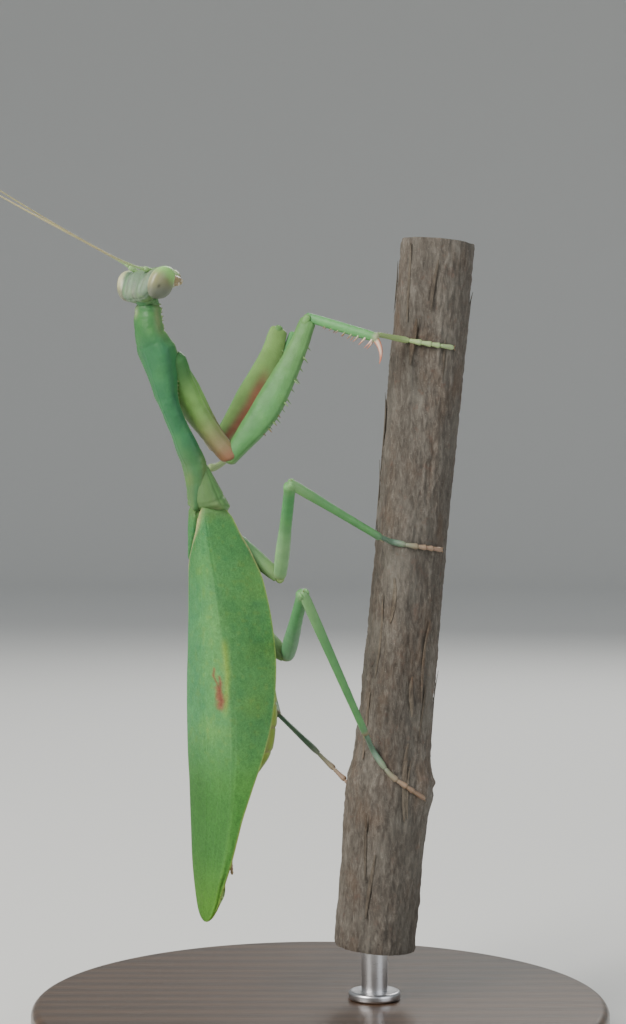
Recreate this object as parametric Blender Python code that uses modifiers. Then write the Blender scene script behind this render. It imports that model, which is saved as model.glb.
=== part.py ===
# A still, life-size praying mantis climbing a cut length of cane on a plain display stand.
# Lengths below are in millimetres and are scaled to metres as each mesh is made.
# The insect is laid out from its waist, the hind tip of the pronotum, in three body directions:
# forward (towards the head), right (its own right side) and dorsal (its back).
import math

import bmesh
import bpy
from mathutils import Matrix, Vector

MM = 0.001
GAP = 0.3                 # clearance between neighbouring solids
SIDES = 16                # sides of a body section

# stand and perch
BASE_RADIUS, BASE_HEIGHT, BASE_EDGE = 33.0, 6.0, 0.8
ROD_RADIUS, ROD_IN_BASE, ROD_IN_CANE = 1.5, 4.0, 8.0
WAIST_HEIGHT = 62.0       # waist above the table
WAIST_FROM_BASE = (-14.0, -1.0)
CANE_AXIS = (24.75, 1.0)   # cane axis beside the waist, at the waist's height
CANE_LEAN = 5.15          # degrees, top away from the insect
CANE_LOW, CANE_HIGH = -50.0, 31.0
CANE_RADII = [(-50.0, 4.6), (-41.0, 4.6), (-34.0, 4.75), (-31.5, 4.8), (-27.5, 4.3),
              (-20.0, 4.15), (-4.0, 4.05), (8.0, 4.1), (20.0, 4.25), (31.0, 4.2)]

# the insect's own directions
BACK_TURN = 40.0          # degrees its back is turned from -X towards -Y
FORWARD = Vector((0, 0, 1))
DORSAL = Vector((-math.cos(math.radians(BACK_TURN)), -math.sin(math.radians(BACK_TURN)), 0))
RIGHT = Vector((math.sin(math.radians(BACK_TURN)), -math.cos(math.radians(BACK_TURN)), 0))

# body sections: forward, dorsal, half width, height above and below that point
PROTHORAX = [(23.3, 7.0, 1.1, 0.8, 0.8), (22.9, 7.0, 1.45, 1.15, 1.1), (21.7, 7.1, 1.75, 1.3, 1.3),
             (20.3, 7.0, 1.8, 1.35, 1.35), (19.2, 6.6, 2.1, 1.4, 1.4), (18.0, 6.1, 2.4, 1.35, 1.45),
             (15.6, 5.2, 1.8, 1.2, 1.3), (13.5, 4.6, 1.6, 1.1, 1.15), (11.4, 3.7, 1.45, 1.05, 1.1),
             (9.4, 2.55, 1.45, 1.1, 1.1), (7.3, 1.45, 1.6, 1.2, 1.2), (5.2, 0.5, 1.65, 1.25, 0.95),
             (3.6, 0.35, 1.4, 1.15, 0.2), (2.0, 0.3, 1.05, 1.1, -0.2), (0.5, 0.25, 0.5, 0.95, -0.3)]
PTEROTHORAX = [(4.9, -0.1, 1.0, 0.9, 0.9), (4.5, -0.1, 1.6, 1.2, 1.2), (2.4, -0.5, 2.0, 1.6, 1.8),
               (0.8, -1.0, 2.3, 1.8, 2.1), (-1.5, -2.0, 2.9, 2.3, 2.8), (-3.8, -3.1, 3.3, 2.8, 3.3),
               (-8.0, -4.4, 3.6, 2.6, 3.4), (-12.0, -5.1, 3.5, 2.4, 3.2), (-14.6, -5.5, 3.0, 2.0, 2.6)]
ABDOMEN = [(-15.0, -5.6, 2.9, 2.0, 2.5), (-15.8, -5.7, 3.9, 2.6, 2.9), (-18.5, -6.0, 5.1, 3.0, 3.0),
           (-23.0, -6.3, 5.7, 3.0, 2.9), (-28.0, -6.0, 5.1, 2.8, 2.7), (-30.3, -5.2, 3.8, 2.3, 2.4),
           (-33.0, -4.6, 2.8, 1.9, 2.1), (-36.0, -4.2, 2.0, 1.4, 1.8), (-38.5, -4.0, 1.3, 1.0, 1.3),
           (-39.6, -3.9, 0.8, 0.6, 0.8)]
CERCUS_BASE, CERCUS_TIP = (-38.6, 0.75, -4.4), (-42.4, 0.9, -4.2)

# folded wings: forward, half width and height of the fold line, width of the side field
WINGS = [(0.2, 1.45, 0.5, 2.4), (-2.5, 1.6, 0.42, 4.7), (-5.0, 1.8, 0.3, 6.0), (-8.0, 2.2, 0.0, 6.6),
         (-12.0, 2.75, -0.4, 6.6), (-16.0, 3.25, -0.75, 6.4), (-20.0, 3.75, -1.0, 5.9),
         (-24.0, 4.0, -1.25, 5.1), (-28.0, 4.2, -1.5, 3.7), (-32.0, 4.05, -1.68, 2.2),
         (-36.0, 3.7, -1.62, 1.2), (-40.0, 3.05, -1.38, 0.75), (-43.0, 2.25, -1.15, 0.5),
         (-45.3, 1.35, -1.05, 0.35), (-46.9, 0.4, -1.0, 0.15)]
SIDE_FIELD_SLOPE = math.radians(64.0)
CROWN = 0.12              # rise of the back between the folds, over the half width
SHEET = 0.5               # wing thickness
LAYER = SHEET + GAP       # one wing lies this far below the next
SEAM_CROSSES = -7.5       # where the upper forewing's inner edge reaches the left fold
UNDER_WING_TUCKS = (26.0, 35.0)   # behind the waist, where the left forewing slips wholly under
HINDWING_FROM, HINDWING_TO = -6.5, -46.0

# head: centre, turn of its width axis, sections from vertex to mouth (distance above the centre,
# half width, depth behind and in front of the middle, shift of the middle towards the face)
HEAD_CENTRE = Vector((-5.6, -4.8, 25.6))
HEAD_TURN, HEAD_ROLL = 43.0, 1.0
FACE_LEAN = 0.42          # the face slopes back towards the vertex by this much of its depth
HEAD = [(2.05, 0.8, 1.0, 1.2, 0), (1.8, 1.6, 1.5, 1.6, 0), (1.1, 2.2, 1.7, 1.8, 0), (0.0, 2.4, 1.6, 1.7, 0),
        (-1.1, 2.1, 1.4, 1.5, 0.1), (-2.2, 1.6, 1.15, 1.1, 0.3), (-3.0, 1.05, 0.9, 0.8, 0.5),
        (-3.6, 0.8, 0.7, 0.6, 0.6)]
MOUTH = [(-3.6, 0.7, 0.6, 0.6, 0.6), (-4.0, 0.75, 0.6, 0.55, 0.6), (-4.4, 0.55, 0.5, 0.45, 0.6),
         (-4.8, 0.3, 0.3, 0.25, 0.6)]
EYE_CENTRE, EYE_RADII, EYE_SPLAY = (2.45, 0.2, 0.05), (1.2, 1.75, 1.75), 14.0
NECK_FOOT, NECK_TOP, NECK_RADII = (22.6, 0.0, 7.0), (0.0, 0.0, -1.0), (1.15, 1.05)
ANTENNA_BASE, ANTENNA_LENGTH, ANTENNA_RADIUS, SCAPE_RADIUS = (1.05, 0.3, 1.3), 26.0, 0.26, 0.42
ANTENNA_WAYS = {"left": (196.0, 26.0, 6.0), "right": (222.0, 21.0, -13.0)}   # heading, pitch, first lift
ANTENNA_STEPS, ANTENNA_CURL = 12, 4.0
PALP, PALP_RADIUS = [(0.45, -3.9, 0.3), (0.95, -4.2, -0.3), (0.7, -4.8, -0.2)], 0.27

# legs: where each leaves the body, then length, heading and pitch of coxa, femur and tibia;
# a tibia folded back along its femur is set off from it
LEGS = {
    "fore_right": {"base": (18.0, 2.2, 5.7), "coxa": (14.4, 38, -54), "femur": (18.2, -12, 60),
                   "tibia": (8.5, -23, -19)},
    "fore_left": {"base": (17.6, -1.9, 5.4), "coxa": (14.2, 42, -44), "femur": (18.6, 54, 52),
                  "tibia": (8.6, 241, -56), "tibia_set_off": 2.6, "coxa_bow": 0.0},
    "mid_right": {"base": (-3.2, 1.8, -3.9), "coxa": (6.8, 4, -40), "femur": (15.4, -83, 44),
                  "tibia": (12.9, 27, -28)},
    "mid_left": {"base": (-3.2, -1.8, -3.9), "coxa": (6.8, 76, -40), "femur": (15.4, 99, 33),
                 "tibia": (13.0, -62, -80)},
    "hind_right": {"base": (-12.5, 1.9, -4.8), "coxa": (6.8, 4, -39), "femur": (17.7, -83, 27),
                   "tibia": (20.0, 52, -55)},
    "hind_left": {"base": (-12.5, -1.9, -4.8), "coxa": (6.8, 76, -39), "femur": (17.9, 83, 4),
                  "tibia": (20.0, -80, -26)},
}
# where the feet lie: angle round the cane (0 at +X, 90 away from the viewer) and height
FEET_ON_CANE = {
    "fore_right": [(-128, 19.5), (-102, 19.1), (-78, 18.8), (-54, 18.6)],
    "mid_right": [(-120, -3.4), (-92, -3.8), (-62, -4.1), (-38, -4.3)],
    "hind_right": [(-118, -27.2), (-92, -29.6), (-68, -31.1), (-38, -32.6)],
    "hind_left": [(168, -31.0), (146, -32.3), (126, -33.0)],
}
FREE_TOES = {"mid_left": [(3.0, -80, -74), (3.0, -80, -68), (2.5, -80, -60)],
             "fore_left": [(4.4, 229, -72), (4.0, 210, -39), (4.0, 210, -39), (1.7, 208, -22)]}
FOOT_CLEARANCE = 0.45     # tarsus axis above the bark, besides its own radius
TARSUS_RADIUS = {"fore": 0.32, "mid": 0.33, "hind": 0.33}
TARSUS_START = 0.15       # radius inside the ankle

# sections along each piece: fraction of its length, half width, half depth, shift of its middle
# towards the under edge
COXA = {"fore": [(0.0, 0.8, 0.9, 0), (0.06, 1.1, 1.2, -0.25), (0.3, 1.1, 1.4, -1.1), (0.5, 1.05, 1.5, -1.35),
                 (0.75, 1.0, 1.25, -0.85), (0.93, 0.8, 1.0, -0.25), (1.0, 0.5, 0.6, 0)],
        "mid": [(0.0, 0.8, 0.8, 0), (0.15, 1.0, 1.05, 0), (0.5, 0.9, 1.0, 0), (0.9, 0.75, 0.85, 0), (1.0, 0.45, 0.5, 0)],
        "hind": [(0.0, 0.9, 0.9, 0), (0.15, 1.2, 1.25, 0), (0.55, 1.1, 1.15, 0), (0.9, 0.8, 0.85, 0),
                 (1.0, 0.45, 0.5, 0)]}
FEMUR = {"fore": [(-0.02, 0.5, 0.5, 0), (0.02, 0.7, 0.8, 0.05), (0.1, 0.85, 1.15, 0.4), (0.25, 0.95, 1.7, 0.9),
                  (0.42, 0.95, 1.8, 1.05), (0.62, 0.85, 1.5, 0.95), (0.82, 0.7, 1.05, 0.7), (0.95, 0.6, 0.9, 0.25),
                  (1.02, 0.4, 0.55, 0)],
         "mid": [(-0.03, 0.4, 0.4, 0), (0.02, 0.62, 0.66, 0), (0.25, 0.68, 0.74, 0), (0.6, 0.58, 0.64, 0),
                 (0.93, 0.56, 0.64, 0), (1.03, 0.35, 0.42, 0)],
         "hind": [(-0.03, 0.4, 0.4, 0), (0.02, 0.66, 0.7, 0), (0.2, 0.74, 0.82, 0), (0.6, 0.6, 0.66, 0),
                  (0.93, 0.56, 0.64, 0), (1.02, 0.35, 0.42, 0)]}
TIBIA = {"fore": [(0.0, 0.4, 0.45, 0), (0.15, 0.48, 0.55, 0), (0.6, 0.45, 0.55, 0), (0.92, 0.42, 0.52, 0),
                  (1.0, 0.3, 0.35, 0)],
         "mid": [(0.0, 0.4, 0.42, 0), (0.1, 0.5, 0.54, 0), (0.5, 0.42, 0.44, 0), (0.92, 0.4, 0.42, 0),
                 (1.0, 0.3, 0.3, 0)],
         "hind": [(0.0, 0.4, 0.42, 0), (0.08, 0.52, 0.56, 0), (0.5, 0.46, 0.48, 0), (0.95, 0.4, 0.42, 0),
                  (1.0, 0.3, 0.3, 0)]}

# raptorial spines, as fractions along the femur or tibia, with their lengths
FEMUR_SPINES_OUTER = [(0.32, 1.3), (0.47, 1.4), (0.62, 1.3), (0.78, 1.0)]
FEMUR_SPINES_INNER = [(0.3 + 0.062 * i, 1.1 if i % 2 else 0.75) for i in range(10)]
FEMUR_SPINES_DISC = [(0.24, 1.3), (0.29, 1.5), (0.345, 1.2)]
TIBIA_SPINES = [(0.3 + 0.11 * i, 0.55 + 0.08 * i) for i in range(6)]
SPINE_RADIUS, SPINE_SIDES, SPINE_LEAN = 0.27, 3, 0.35
CLAW_LENGTH, CLAW_RADIUS, CLAW_STEPS = 3.4, 0.34, 6
CLAW_TURNS = (30.0, 85.0)   # degrees from the tibia's line, at its root and its tip

COLOURS = {"green": (0.11, 0.27, 0.11), "pale_green": (0.2, 0.38, 0.2), "wing": (0.1, 0.29, 0.09),
           "hindwing": (0.3, 0.42, 0.16), "abdomen": (0.2, 0.31, 0.08), "eye": (0.3, 0.33, 0.2),
           "horn": (0.3, 0.2, 0.1), "bark": (0.13, 0.1, 0.075), "base": (0.05, 0.035, 0.025),
           "steel": (0.55, 0.55, 0.56)}
ROUGHNESS = {"steel": 0.3, "eye": 0.25, "bark": 0.9, "base": 0.4}

for leftover in list(bpy.data.objects):
    bpy.data.objects.remove(leftover)

parts = bpy.data.collections.new("praying_mantis")
cutters = bpy.data.collections.new("cutters")
for collection in (parts, cutters):
    bpy.context.scene.collection.children.link(collection)


def material(colour):
    if colour in bpy.data.materials:
        return bpy.data.materials[colour]
    made = bpy.data.materials.new(colour)
    made.use_nodes = True
    shader = made.node_tree.nodes["Principled BSDF"]
    shader.inputs["Base Color"].default_value = (*COLOURS[colour], 1)
    shader.inputs["Roughness"].default_value = ROUGHNESS.get(colour, 0.45)
    shader.inputs["Metallic"].default_value = 1.0 if colour == "steel" else 0.0
    return made


waist = bpy.data.objects.new("waist", None)
waist.location = Vector((*WAIST_FROM_BASE, WAIST_HEIGHT)) * MM
parts.objects.link(waist)


def add_object(name, bm, colour, collection=parts, on_waist=True):
    bm.normal_update()
    bmesh.ops.recalc_face_normals(bm, faces=bm.faces)
    mesh = bpy.data.meshes.new(name)
    bm.to_mesh(mesh)
    bm.free()
    mesh.transform(Matrix.Scale(MM, 4))
    mesh.shade_smooth()
    mesh.set_sharp_from_angle(angle=math.radians(50))
    mesh.materials.append(material(colour))
    obj = bpy.data.objects.new(name, mesh)
    collection.objects.link(obj)
    if on_waist:
        obj.parent = waist
    if collection is cutters:
        obj.hide_render = True
        obj.display_type = "WIRE"
    return obj


def cut(obj, cutter, operation="DIFFERENCE"):
    boolean = obj.modifiers.new(operation.lower(), "BOOLEAN")
    boolean.operation = operation
    boolean.object = cutter


def body_point(forward, right, dorsal):
    return FORWARD * forward + RIGHT * right + DORSAL * dorsal


def direction(heading, pitch):
    level = math.cos(math.radians(pitch))
    return Vector((level * math.cos(math.radians(heading)), level * math.sin(math.radians(heading)),
                   math.sin(math.radians(pitch))))


def oval(centre, side, up, width, above, below, count=SIDES):
    ring = []
    for i in range(count):
        turn = math.tau * i / count
        rise = math.sin(turn)
        ring.append(centre + side * (width * math.cos(turn)) + up * (rise * (above if rise > 0 else below)))
    return ring


def loft(name, rings, colour, collection=parts, on_waist=True):
    bm = bmesh.new()
    loops = [[bm.verts.new(point) for point in ring] for ring in rings]
    count = len(loops[0])
    for near, far in zip(loops, loops[1:]):
        for i in range(count):
            bm.faces.new((near[i], near[(i + 1) % count], far[(i + 1) % count], far[i]))
    bm.faces.new(loops[0])
    bm.faces.new(loops[-1])
    return add_object(name, bm, colour, collection, on_waist)


def sheet(name, rows, colour):
    # an open grid of points, thickened inwards
    bm = bmesh.new()
    grid = [[bm.verts.new(point) for point in row] for row in rows]
    for near, far in zip(grid, grid[1:]):
        for a, b, c, d in zip(near, near[1:], far[1:], far):
            bm.faces.new((a, b, c, d))
    obj = add_object(name, bm, colour)
    if obj.data.polygons[0].normal.dot(DORSAL) < 0:
        obj.data.flip_normals()
    solid = obj.modifiers.new("thickness", "SOLIDIFY")
    solid.thickness = SHEET * MM
    solid.offset = -1
    return obj


def tube(name, points, radii, colour, collection=parts, resolution=2):
    # a tapered tube along a polyline, as a mesh with its caps welded on
    curve = bpy.data.curves.new(name, "CURVE")
    curve.dimensions = "3D"
    curve.bevel_depth = 1.0
    curve.bevel_resolution = resolution
    curve.use_fill_caps = True
    line = curve.splines.new("POLY")
    line.points.add(len(points) - 1)
    for spot, point, radius in zip(line.points, points, radii):
        spot.co = (*point, 1)
        spot.radius = radius
    holder = bpy.data.objects.new(name + "_curve", curve)
    bpy.context.scene.collection.objects.link(holder)
    bpy.context.view_layer.update()
    bm = bmesh.new()
    bm.from_mesh(bpy.data.meshes.new_from_object(holder.evaluated_get(bpy.context.evaluated_depsgraph_get())))
    bmesh.ops.remove_doubles(bm, verts=bm.verts, dist=0.001)
    bpy.data.objects.remove(holder)
    return add_object(name, bm, colour, collection)


def between(table, position):
    # a row of values read from a table at a position between its first and last, either way round
    rows = sorted(table)
    position = min(max(position, rows[0][0]), rows[-1][0])
    for low, high in zip(rows, rows[1:]):
        if position <= high[0]:
            share = (position - low[0]) / (high[0] - low[0])
            return [a + (b - a) * share for a, b in zip(low[1:], high[1:])]


def trunk(name, sections, colour, grow=0.0, collection=parts):
    # a lofted body: each section is square to the line through its neighbours
    spots = [FORWARD * row[0] + DORSAL * row[1] for row in sections]
    rings = []
    for i, (_, _, width, above, below) in enumerate(sections):
        ahead = (spots[max(i - 1, 0)] - spots[min(i + 1, len(spots) - 1)]).normalized()
        up = (DORSAL - ahead * DORSAL.dot(ahead)).normalized()
        centre = spots[i]
        if grow and i in (0, len(spots) - 1):
            centre = centre + ahead * (grow if i == 0 else -grow)
        rings.append(oval(centre, RIGHT, up, width + grow, above + grow, below + grow))
    return loft(name, rings, colour, collection)


# ---- stand and perch ----
lean = math.radians(CANE_LEAN)
CANE_UP = Vector((math.sin(lean), 0, math.cos(lean)))


def cane_centre(height):
    return Vector((CANE_AXIS[0] + height * math.tan(lean), CANE_AXIS[1], height))


def on_cane(angle, height, clearance):
    reach = between(CANE_RADII, height)[0] + clearance
    turn = math.radians(angle)
    return cane_centre(height) + Vector((reach * math.cos(turn), reach * math.sin(turn), 0))


def make_cane(name, grow=0.0, collection=parts):
    side = CANE_UP.cross(Vector((0, 1, 0))).normalized()
    rings = []
    steps = 20
    for i in range(steps + 1):
        height = CANE_LOW + (CANE_HIGH - CANE_LOW) * i / steps
        radius = between(CANE_RADII, height)[0] + grow
        ring = []
        for k in range(SIDES):
            turn = math.tau * k / SIDES
            bump = 0.07 * math.sin(3 * turn + height * 0.11) + 0.05 * math.sin(5 * turn - height * 0.07)
            ring.append(cane_centre(height) + (side * math.cos(turn) + Vector((0, math.sin(turn), 0)))
                        * (radius + bump))
        rings.append(ring)
    return loft(name, rings, "bark", collection)


def pin(name, low, high, radius, colour="steel", collection=parts):
    rings = [oval(low, Vector((1, 0, 0)), Vector((0, 1, 0)), radius, radius, radius, 24),
             oval(high, Vector((1, 0, 0)), Vector((0, 1, 0)), radius, radius, radius, 24)]
    return loft(name, rings, colour, collection)


def make_stand():
    profile = [(BASE_RADIUS - BASE_EDGE, 0.0), (BASE_RADIUS, BASE_EDGE),
               (BASE_RADIUS, BASE_HEIGHT - BASE_EDGE), (BASE_RADIUS - BASE_EDGE, BASE_HEIGHT)]
    rings = []
    for reach, height in profile:
        rings.append(oval(Vector((0, 0, height)), Vector((1, 0, 0)), Vector((0, 1, 0)), reach, reach, reach, 48))
    base = loft("stand_base", rings, "base", on_waist=False)

    cane = make_cane("perch_cane")
    table = -WAIST_HEIGHT
    foot = cane_centre(CANE_LOW)
    low = Vector((foot.x, foot.y, table + BASE_HEIGHT - ROD_IN_BASE))
    high = cane_centre(CANE_LOW + ROD_IN_CANE)
    pin("stand_rod", low, high, ROD_RADIUS)
    along = (high - low).normalized()
    hole = pin("rod_holes", low - along * GAP, high + along * GAP, ROD_RADIUS + GAP, collection=cutters)
    cut(base, hole)
    cut(cane, hole)


# ---- trunk ----
def fold(forward, inset=0.0):
    # the folded wings' cross-section: half width, height and side field at one place along the back
    width, height, field = between(WINGS, forward)
    return max(width - inset * math.tan(SIDE_FIELD_SLOPE / 2), 0.15), height - inset, field


def roof(forward, across, inset=0.0):
    # across runs from -2, the left side edge, through -1 and 1, the folds, to 2, the right side edge
    width, height, field = fold(forward, inset)
    hand = 1 if across > 0 else -1
    reach = min(abs(across), 1)
    side = max(abs(across) - 1, 0)
    right = hand * (width * reach + field * side * math.cos(SIDE_FIELD_SLOPE))
    dorsal = height + CROWN * width * (1 - reach * reach) - field * side * math.sin(SIDE_FIELD_SLOPE)
    return body_point(forward, right, dorsal)


def step(value, low, high):
    share = min(max((value - low) / (high - low), 0), 1)
    return share * share * (3 - 2 * share)


def seam(forward):
    # where the upper forewing's inner edge lies, from just right of the midline to the left fold
    return 0.4 - 1.4 * step(-forward, 0.0, -SEAM_CROSSES)


def make_wings():
    fields = [1, 1.15, 1.55, 2]
    right_rows, left_rows = [], []
    for forward, *_ in WINGS:
        start = seam(forward)
        right_rows.append([roof(forward, start + (1 - start) * i / 5) for i in range(5)]
                          + [roof(forward, across) for across in fields])
        # bare up to the seam, then one layer down beneath the right forewing
        tuck = LAYER * step(-forward, *UNDER_WING_TUCKS)
        bare = start - 0.35
        left = [roof(forward, -2 + (bare + 2) * share, tuck) for share in (0, 0.35, 0.6, 0.8, 1)]
        left += [roof(forward, bare + 0.25 + (0.65 - bare) * i / 4, LAYER) for i in range(5)]
        left_rows.append(left)
    sheet("forewing_right", right_rows, "wing")
    sheet("forewing_left", left_rows, "wing")
    for name, hand in (("right", 1), ("left", -1)):
        rows = []
        for i in range(9):
            forward = HINDWING_FROM + (HINDWING_TO - HINDWING_FROM) * i / 8
            width = max(fold(forward, 2 * LAYER)[0], 0.5)
            spread = [hand * (0.12 / width + (0.94 - 0.12 / width) * k / 3) for k in range(4)]
            rows.append([roof(forward, across, 2 * LAYER) for across in spread])
        sheet("hindwing_" + name, rows, "hindwing")


def make_roof_cutter():
    # everything above the wings' undersides, cut away from the trunk
    rings = []
    for forward in (6.0, 1.0, -2.5, -5.6, -6.2, -9.0, -12.0, -16.0, -20.0, -24.0, -28.0, -32.0, -36.0, -40.0, -44.0):
        inset = 2 * LAYER if forward > -6 else 3 * LAYER
        under = [roof(forward, across, inset) for across in (-2.05, -1.5, -1, -0.5, 0, 0.5, 1, 1.5, 2.05)]
        drop = under[0].dot(DORSAL)
        rings.append([body_point(forward, -11, drop)] + under
                     + [body_point(forward, 11, drop), body_point(forward, 11, 9), body_point(forward, -11, 9)])
    return loft("under_wings", rings, "green", cutters)


def make_trunk():
    prothorax = trunk("prothorax", PROTHORAX, "green")
    pterothorax = trunk("pterothorax", PTEROTHORAX, "pale_green")
    abdomen = trunk("abdomen", ABDOMEN, "abdomen")
    around_prothorax = trunk("around_prothorax", PROTHORAX, "green", GAP, cutters)
    around_pterothorax = trunk("around_pterothorax", PTEROTHORAX, "green", GAP, cutters)
    under_wings = make_roof_cutter()
    cut(pterothorax, around_prothorax)
    cut(pterothorax, under_wings)
    cut(abdomen, around_pterothorax)
    cut(abdomen, under_wings)
    make_wings()
    for wing in ("forewing_right", "forewing_left"):
        cut(bpy.data.objects[wing], around_prothorax)
    around_abdomen = trunk("around_abdomen", ABDOMEN, "green", GAP, cutters)
    for name, hand in (("left", -1), ("right", 1)):
        base, tip = [body_point(forward, right * hand, dorsal)
                     for forward, right, dorsal in (CERCUS_BASE, CERCUS_TIP)]
        spots = [base.lerp(tip, share) for share in (0, 0.3, 0.7, 1)]
        cercus = tube("cercus_" + name, spots, (0.4, 0.42, 0.35, 0.26), "abdomen")
        cut(cercus, around_abdomen)
    return around_prothorax, around_pterothorax, around_abdomen


# ---- head ----
HEAD_LEVEL = Vector((math.cos(math.radians(HEAD_TURN)), -math.sin(math.radians(HEAD_TURN)), 0))
HEAD_TOP = Vector((-math.sin(math.radians(HEAD_TURN)), -math.cos(math.radians(HEAD_TURN)), 0))
HEAD_SIDE = HEAD_LEVEL * math.cos(math.radians(HEAD_ROLL)) + FORWARD * math.sin(math.radians(HEAD_ROLL))
HEAD_FACE = FORWARD * math.cos(math.radians(HEAD_ROLL)) - HEAD_LEVEL * math.sin(math.radians(HEAD_ROLL))
LEANT_FACE = HEAD_FACE - HEAD_TOP * FACE_LEAN


def head_point(side, top, face):
    return HEAD_CENTRE + HEAD_SIDE * side + HEAD_TOP * top + LEANT_FACE * face


def make_eye(name, hand, grow=0.0, collection=parts):
    bm = bmesh.new()
    bmesh.ops.create_uvsphere(bm, u_segments=14, v_segments=10, radius=1.0)
    lean_in = math.radians(EYE_SPLAY) * hand
    outward = HEAD_SIDE * (hand * math.cos(lean_in)) + HEAD_TOP * math.sin(abs(lean_in))
    along = HEAD_TOP * math.cos(lean_in) - HEAD_SIDE * (hand * math.sin(abs(lean_in)))
    centre = head_point(EYE_CENTRE[0] * hand, *EYE_CENTRE[1:])
    axes = (outward * (EYE_RADII[0] + grow), along * (EYE_RADII[1] + grow), LEANT_FACE * (EYE_RADII[2] + grow))
    for vert in bm.verts:
        vert.co = centre + axes[0] * vert.co.x + axes[1] * vert.co.y + axes[2] * vert.co.z
    return add_object(name, bm, "eye", collection)


def make_head(around_prothorax):
    def capsule(name, sections, grow=0.0, collection=parts, colour="green"):
        rings = []
        for i, (top, width, back, face, shift) in enumerate(sections):
            if grow and i in (0, len(sections) - 1):
                top += grow if i == 0 else -grow
            middle = head_point(0, top, shift)
            rings.append(oval(middle, HEAD_SIDE, LEANT_FACE, width + grow, face + grow, back + grow))
        return loft(name, rings, colour, collection)

    head = capsule("head", HEAD)
    around_head = capsule("around_head", HEAD, GAP, cutters)
    for name, hand in (("left", -1), ("right", 1)):
        make_eye("eye_" + name, hand)
        cut(head, make_eye("around_eye_" + name, hand, GAP, cutters))

    mouth = capsule("mouthparts", MOUTH, colour="horn")
    palps = []
    for hand in (-1, 1):
        spots = [head_point(side * hand, top, face) for side, top, face in PALP]
        palps.append(tube("palp", spots, (PALP_RADIUS,) * len(spots), "horn", cutters))
    for palp in palps:
        cut(mouth, palp, "UNION")
    cut(mouth, around_head)

    for name, hand in (("left", -1), ("right", 1)):
        heading, pitch, lift = ANTENNA_WAYS[name]
        base = head_point(ANTENNA_BASE[0] * hand, *ANTENNA_BASE[1:])
        spots, radii = [base], [SCAPE_RADIUS]
        for i in range(ANTENNA_STEPS):
            share = i / (ANTENNA_STEPS - 1)
            ahead = direction(heading, pitch + lift * (1 - share) ** 8 + ANTENNA_CURL * share)
            spots.append(spots[-1] + ahead * (ANTENNA_LENGTH / ANTENNA_STEPS))
            radii.append(SCAPE_RADIUS if i == 0 else ANTENNA_RADIUS)
        antenna = tube("antenna_" + name, spots, radii, "pale_green")
        cut(antenna, around_head)

    neck = tube("neck", (body_point(*NECK_FOOT), head_point(*NECK_TOP)), NECK_RADII, "pale_green", resolution=3)
    cut(neck, around_prothorax)
    cut(neck, around_head)


# ---- legs ----
def limb(name, start, end, depth_axis, sections, colour, grow=0.0, collection=parts, bow=1.0):
    along = (end - start).normalized()
    length = (end - start).length
    up = (depth_axis - along * depth_axis.dot(along)).normalized()
    side = along.cross(up)
    rings = []
    for i, (share, width, depth, shift) in enumerate(sections):
        spot = start + along * (share * length) + up * (shift * bow)
        if grow and i in (0, len(sections) - 1):
            spot += along * (-grow if i == 0 else grow)
        rings.append(oval(spot, side, up, width + grow, depth + grow, depth + grow, 12))
    return loft(name, rings, colour, collection)


def spine_cone(bm, base, tip, radius):
    along = (tip - base).normalized()
    side = along.orthogonal().normalized()
    up = along.cross(side)
    foot = [bm.verts.new(point) for point in oval(base, side, up, radius, radius, radius, SPINE_SIDES)]
    point = bm.verts.new(tip)
    for i in range(SPINE_SIDES):
        bm.faces.new((foot[i], foot[(i + 1) % SPINE_SIDES], point))
    bm.faces.new(reversed(foot))


def add_spines(obj, name, start, end, blade, side, rows, depth):
    # rows: (list of (fraction, length), offset to the side); blade is the way the spines point
    along = (end - start).normalized()
    bm = bmesh.new()
    for spines, offset in rows:
        for share, length in spines:
            reach = between(depth, share)[1]
            middle = start + (end - start) * share + blade * between(depth, share)[2]
            root = middle + side * offset + blade * (reach * (0.3 if offset else 0.7))
            lean_to = (blade + side * offset * 0.5 - along * SPINE_LEAN).normalized()
            spine_cone(bm, root, root + lean_to * (length + reach * (0.7 if offset else 0.3)), SPINE_RADIUS)
    cut(obj, add_object(name + "_spines", bm, "horn", cutters), "UNION")


def add_claw(obj, name, tip, along, blade):
    # the curved claw that ends the grasping tibia, bent back towards the femur
    spots = [tip - along * 0.9]
    for i in range(CLAW_STEPS):
        turn = math.radians(CLAW_TURNS[0] + (CLAW_TURNS[1] - CLAW_TURNS[0]) * i / (CLAW_STEPS - 1))
        spots.append(spots[-1] + (along * math.cos(turn) + blade * math.sin(turn)) * (CLAW_LENGTH / CLAW_STEPS))
    radii = [CLAW_RADIUS * (1 - 0.55 * i / CLAW_STEPS) for i in range(CLAW_STEPS + 1)]
    cut(obj, tube(name + "_claw", spots, radii, "horn", cutters), "UNION")


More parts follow.
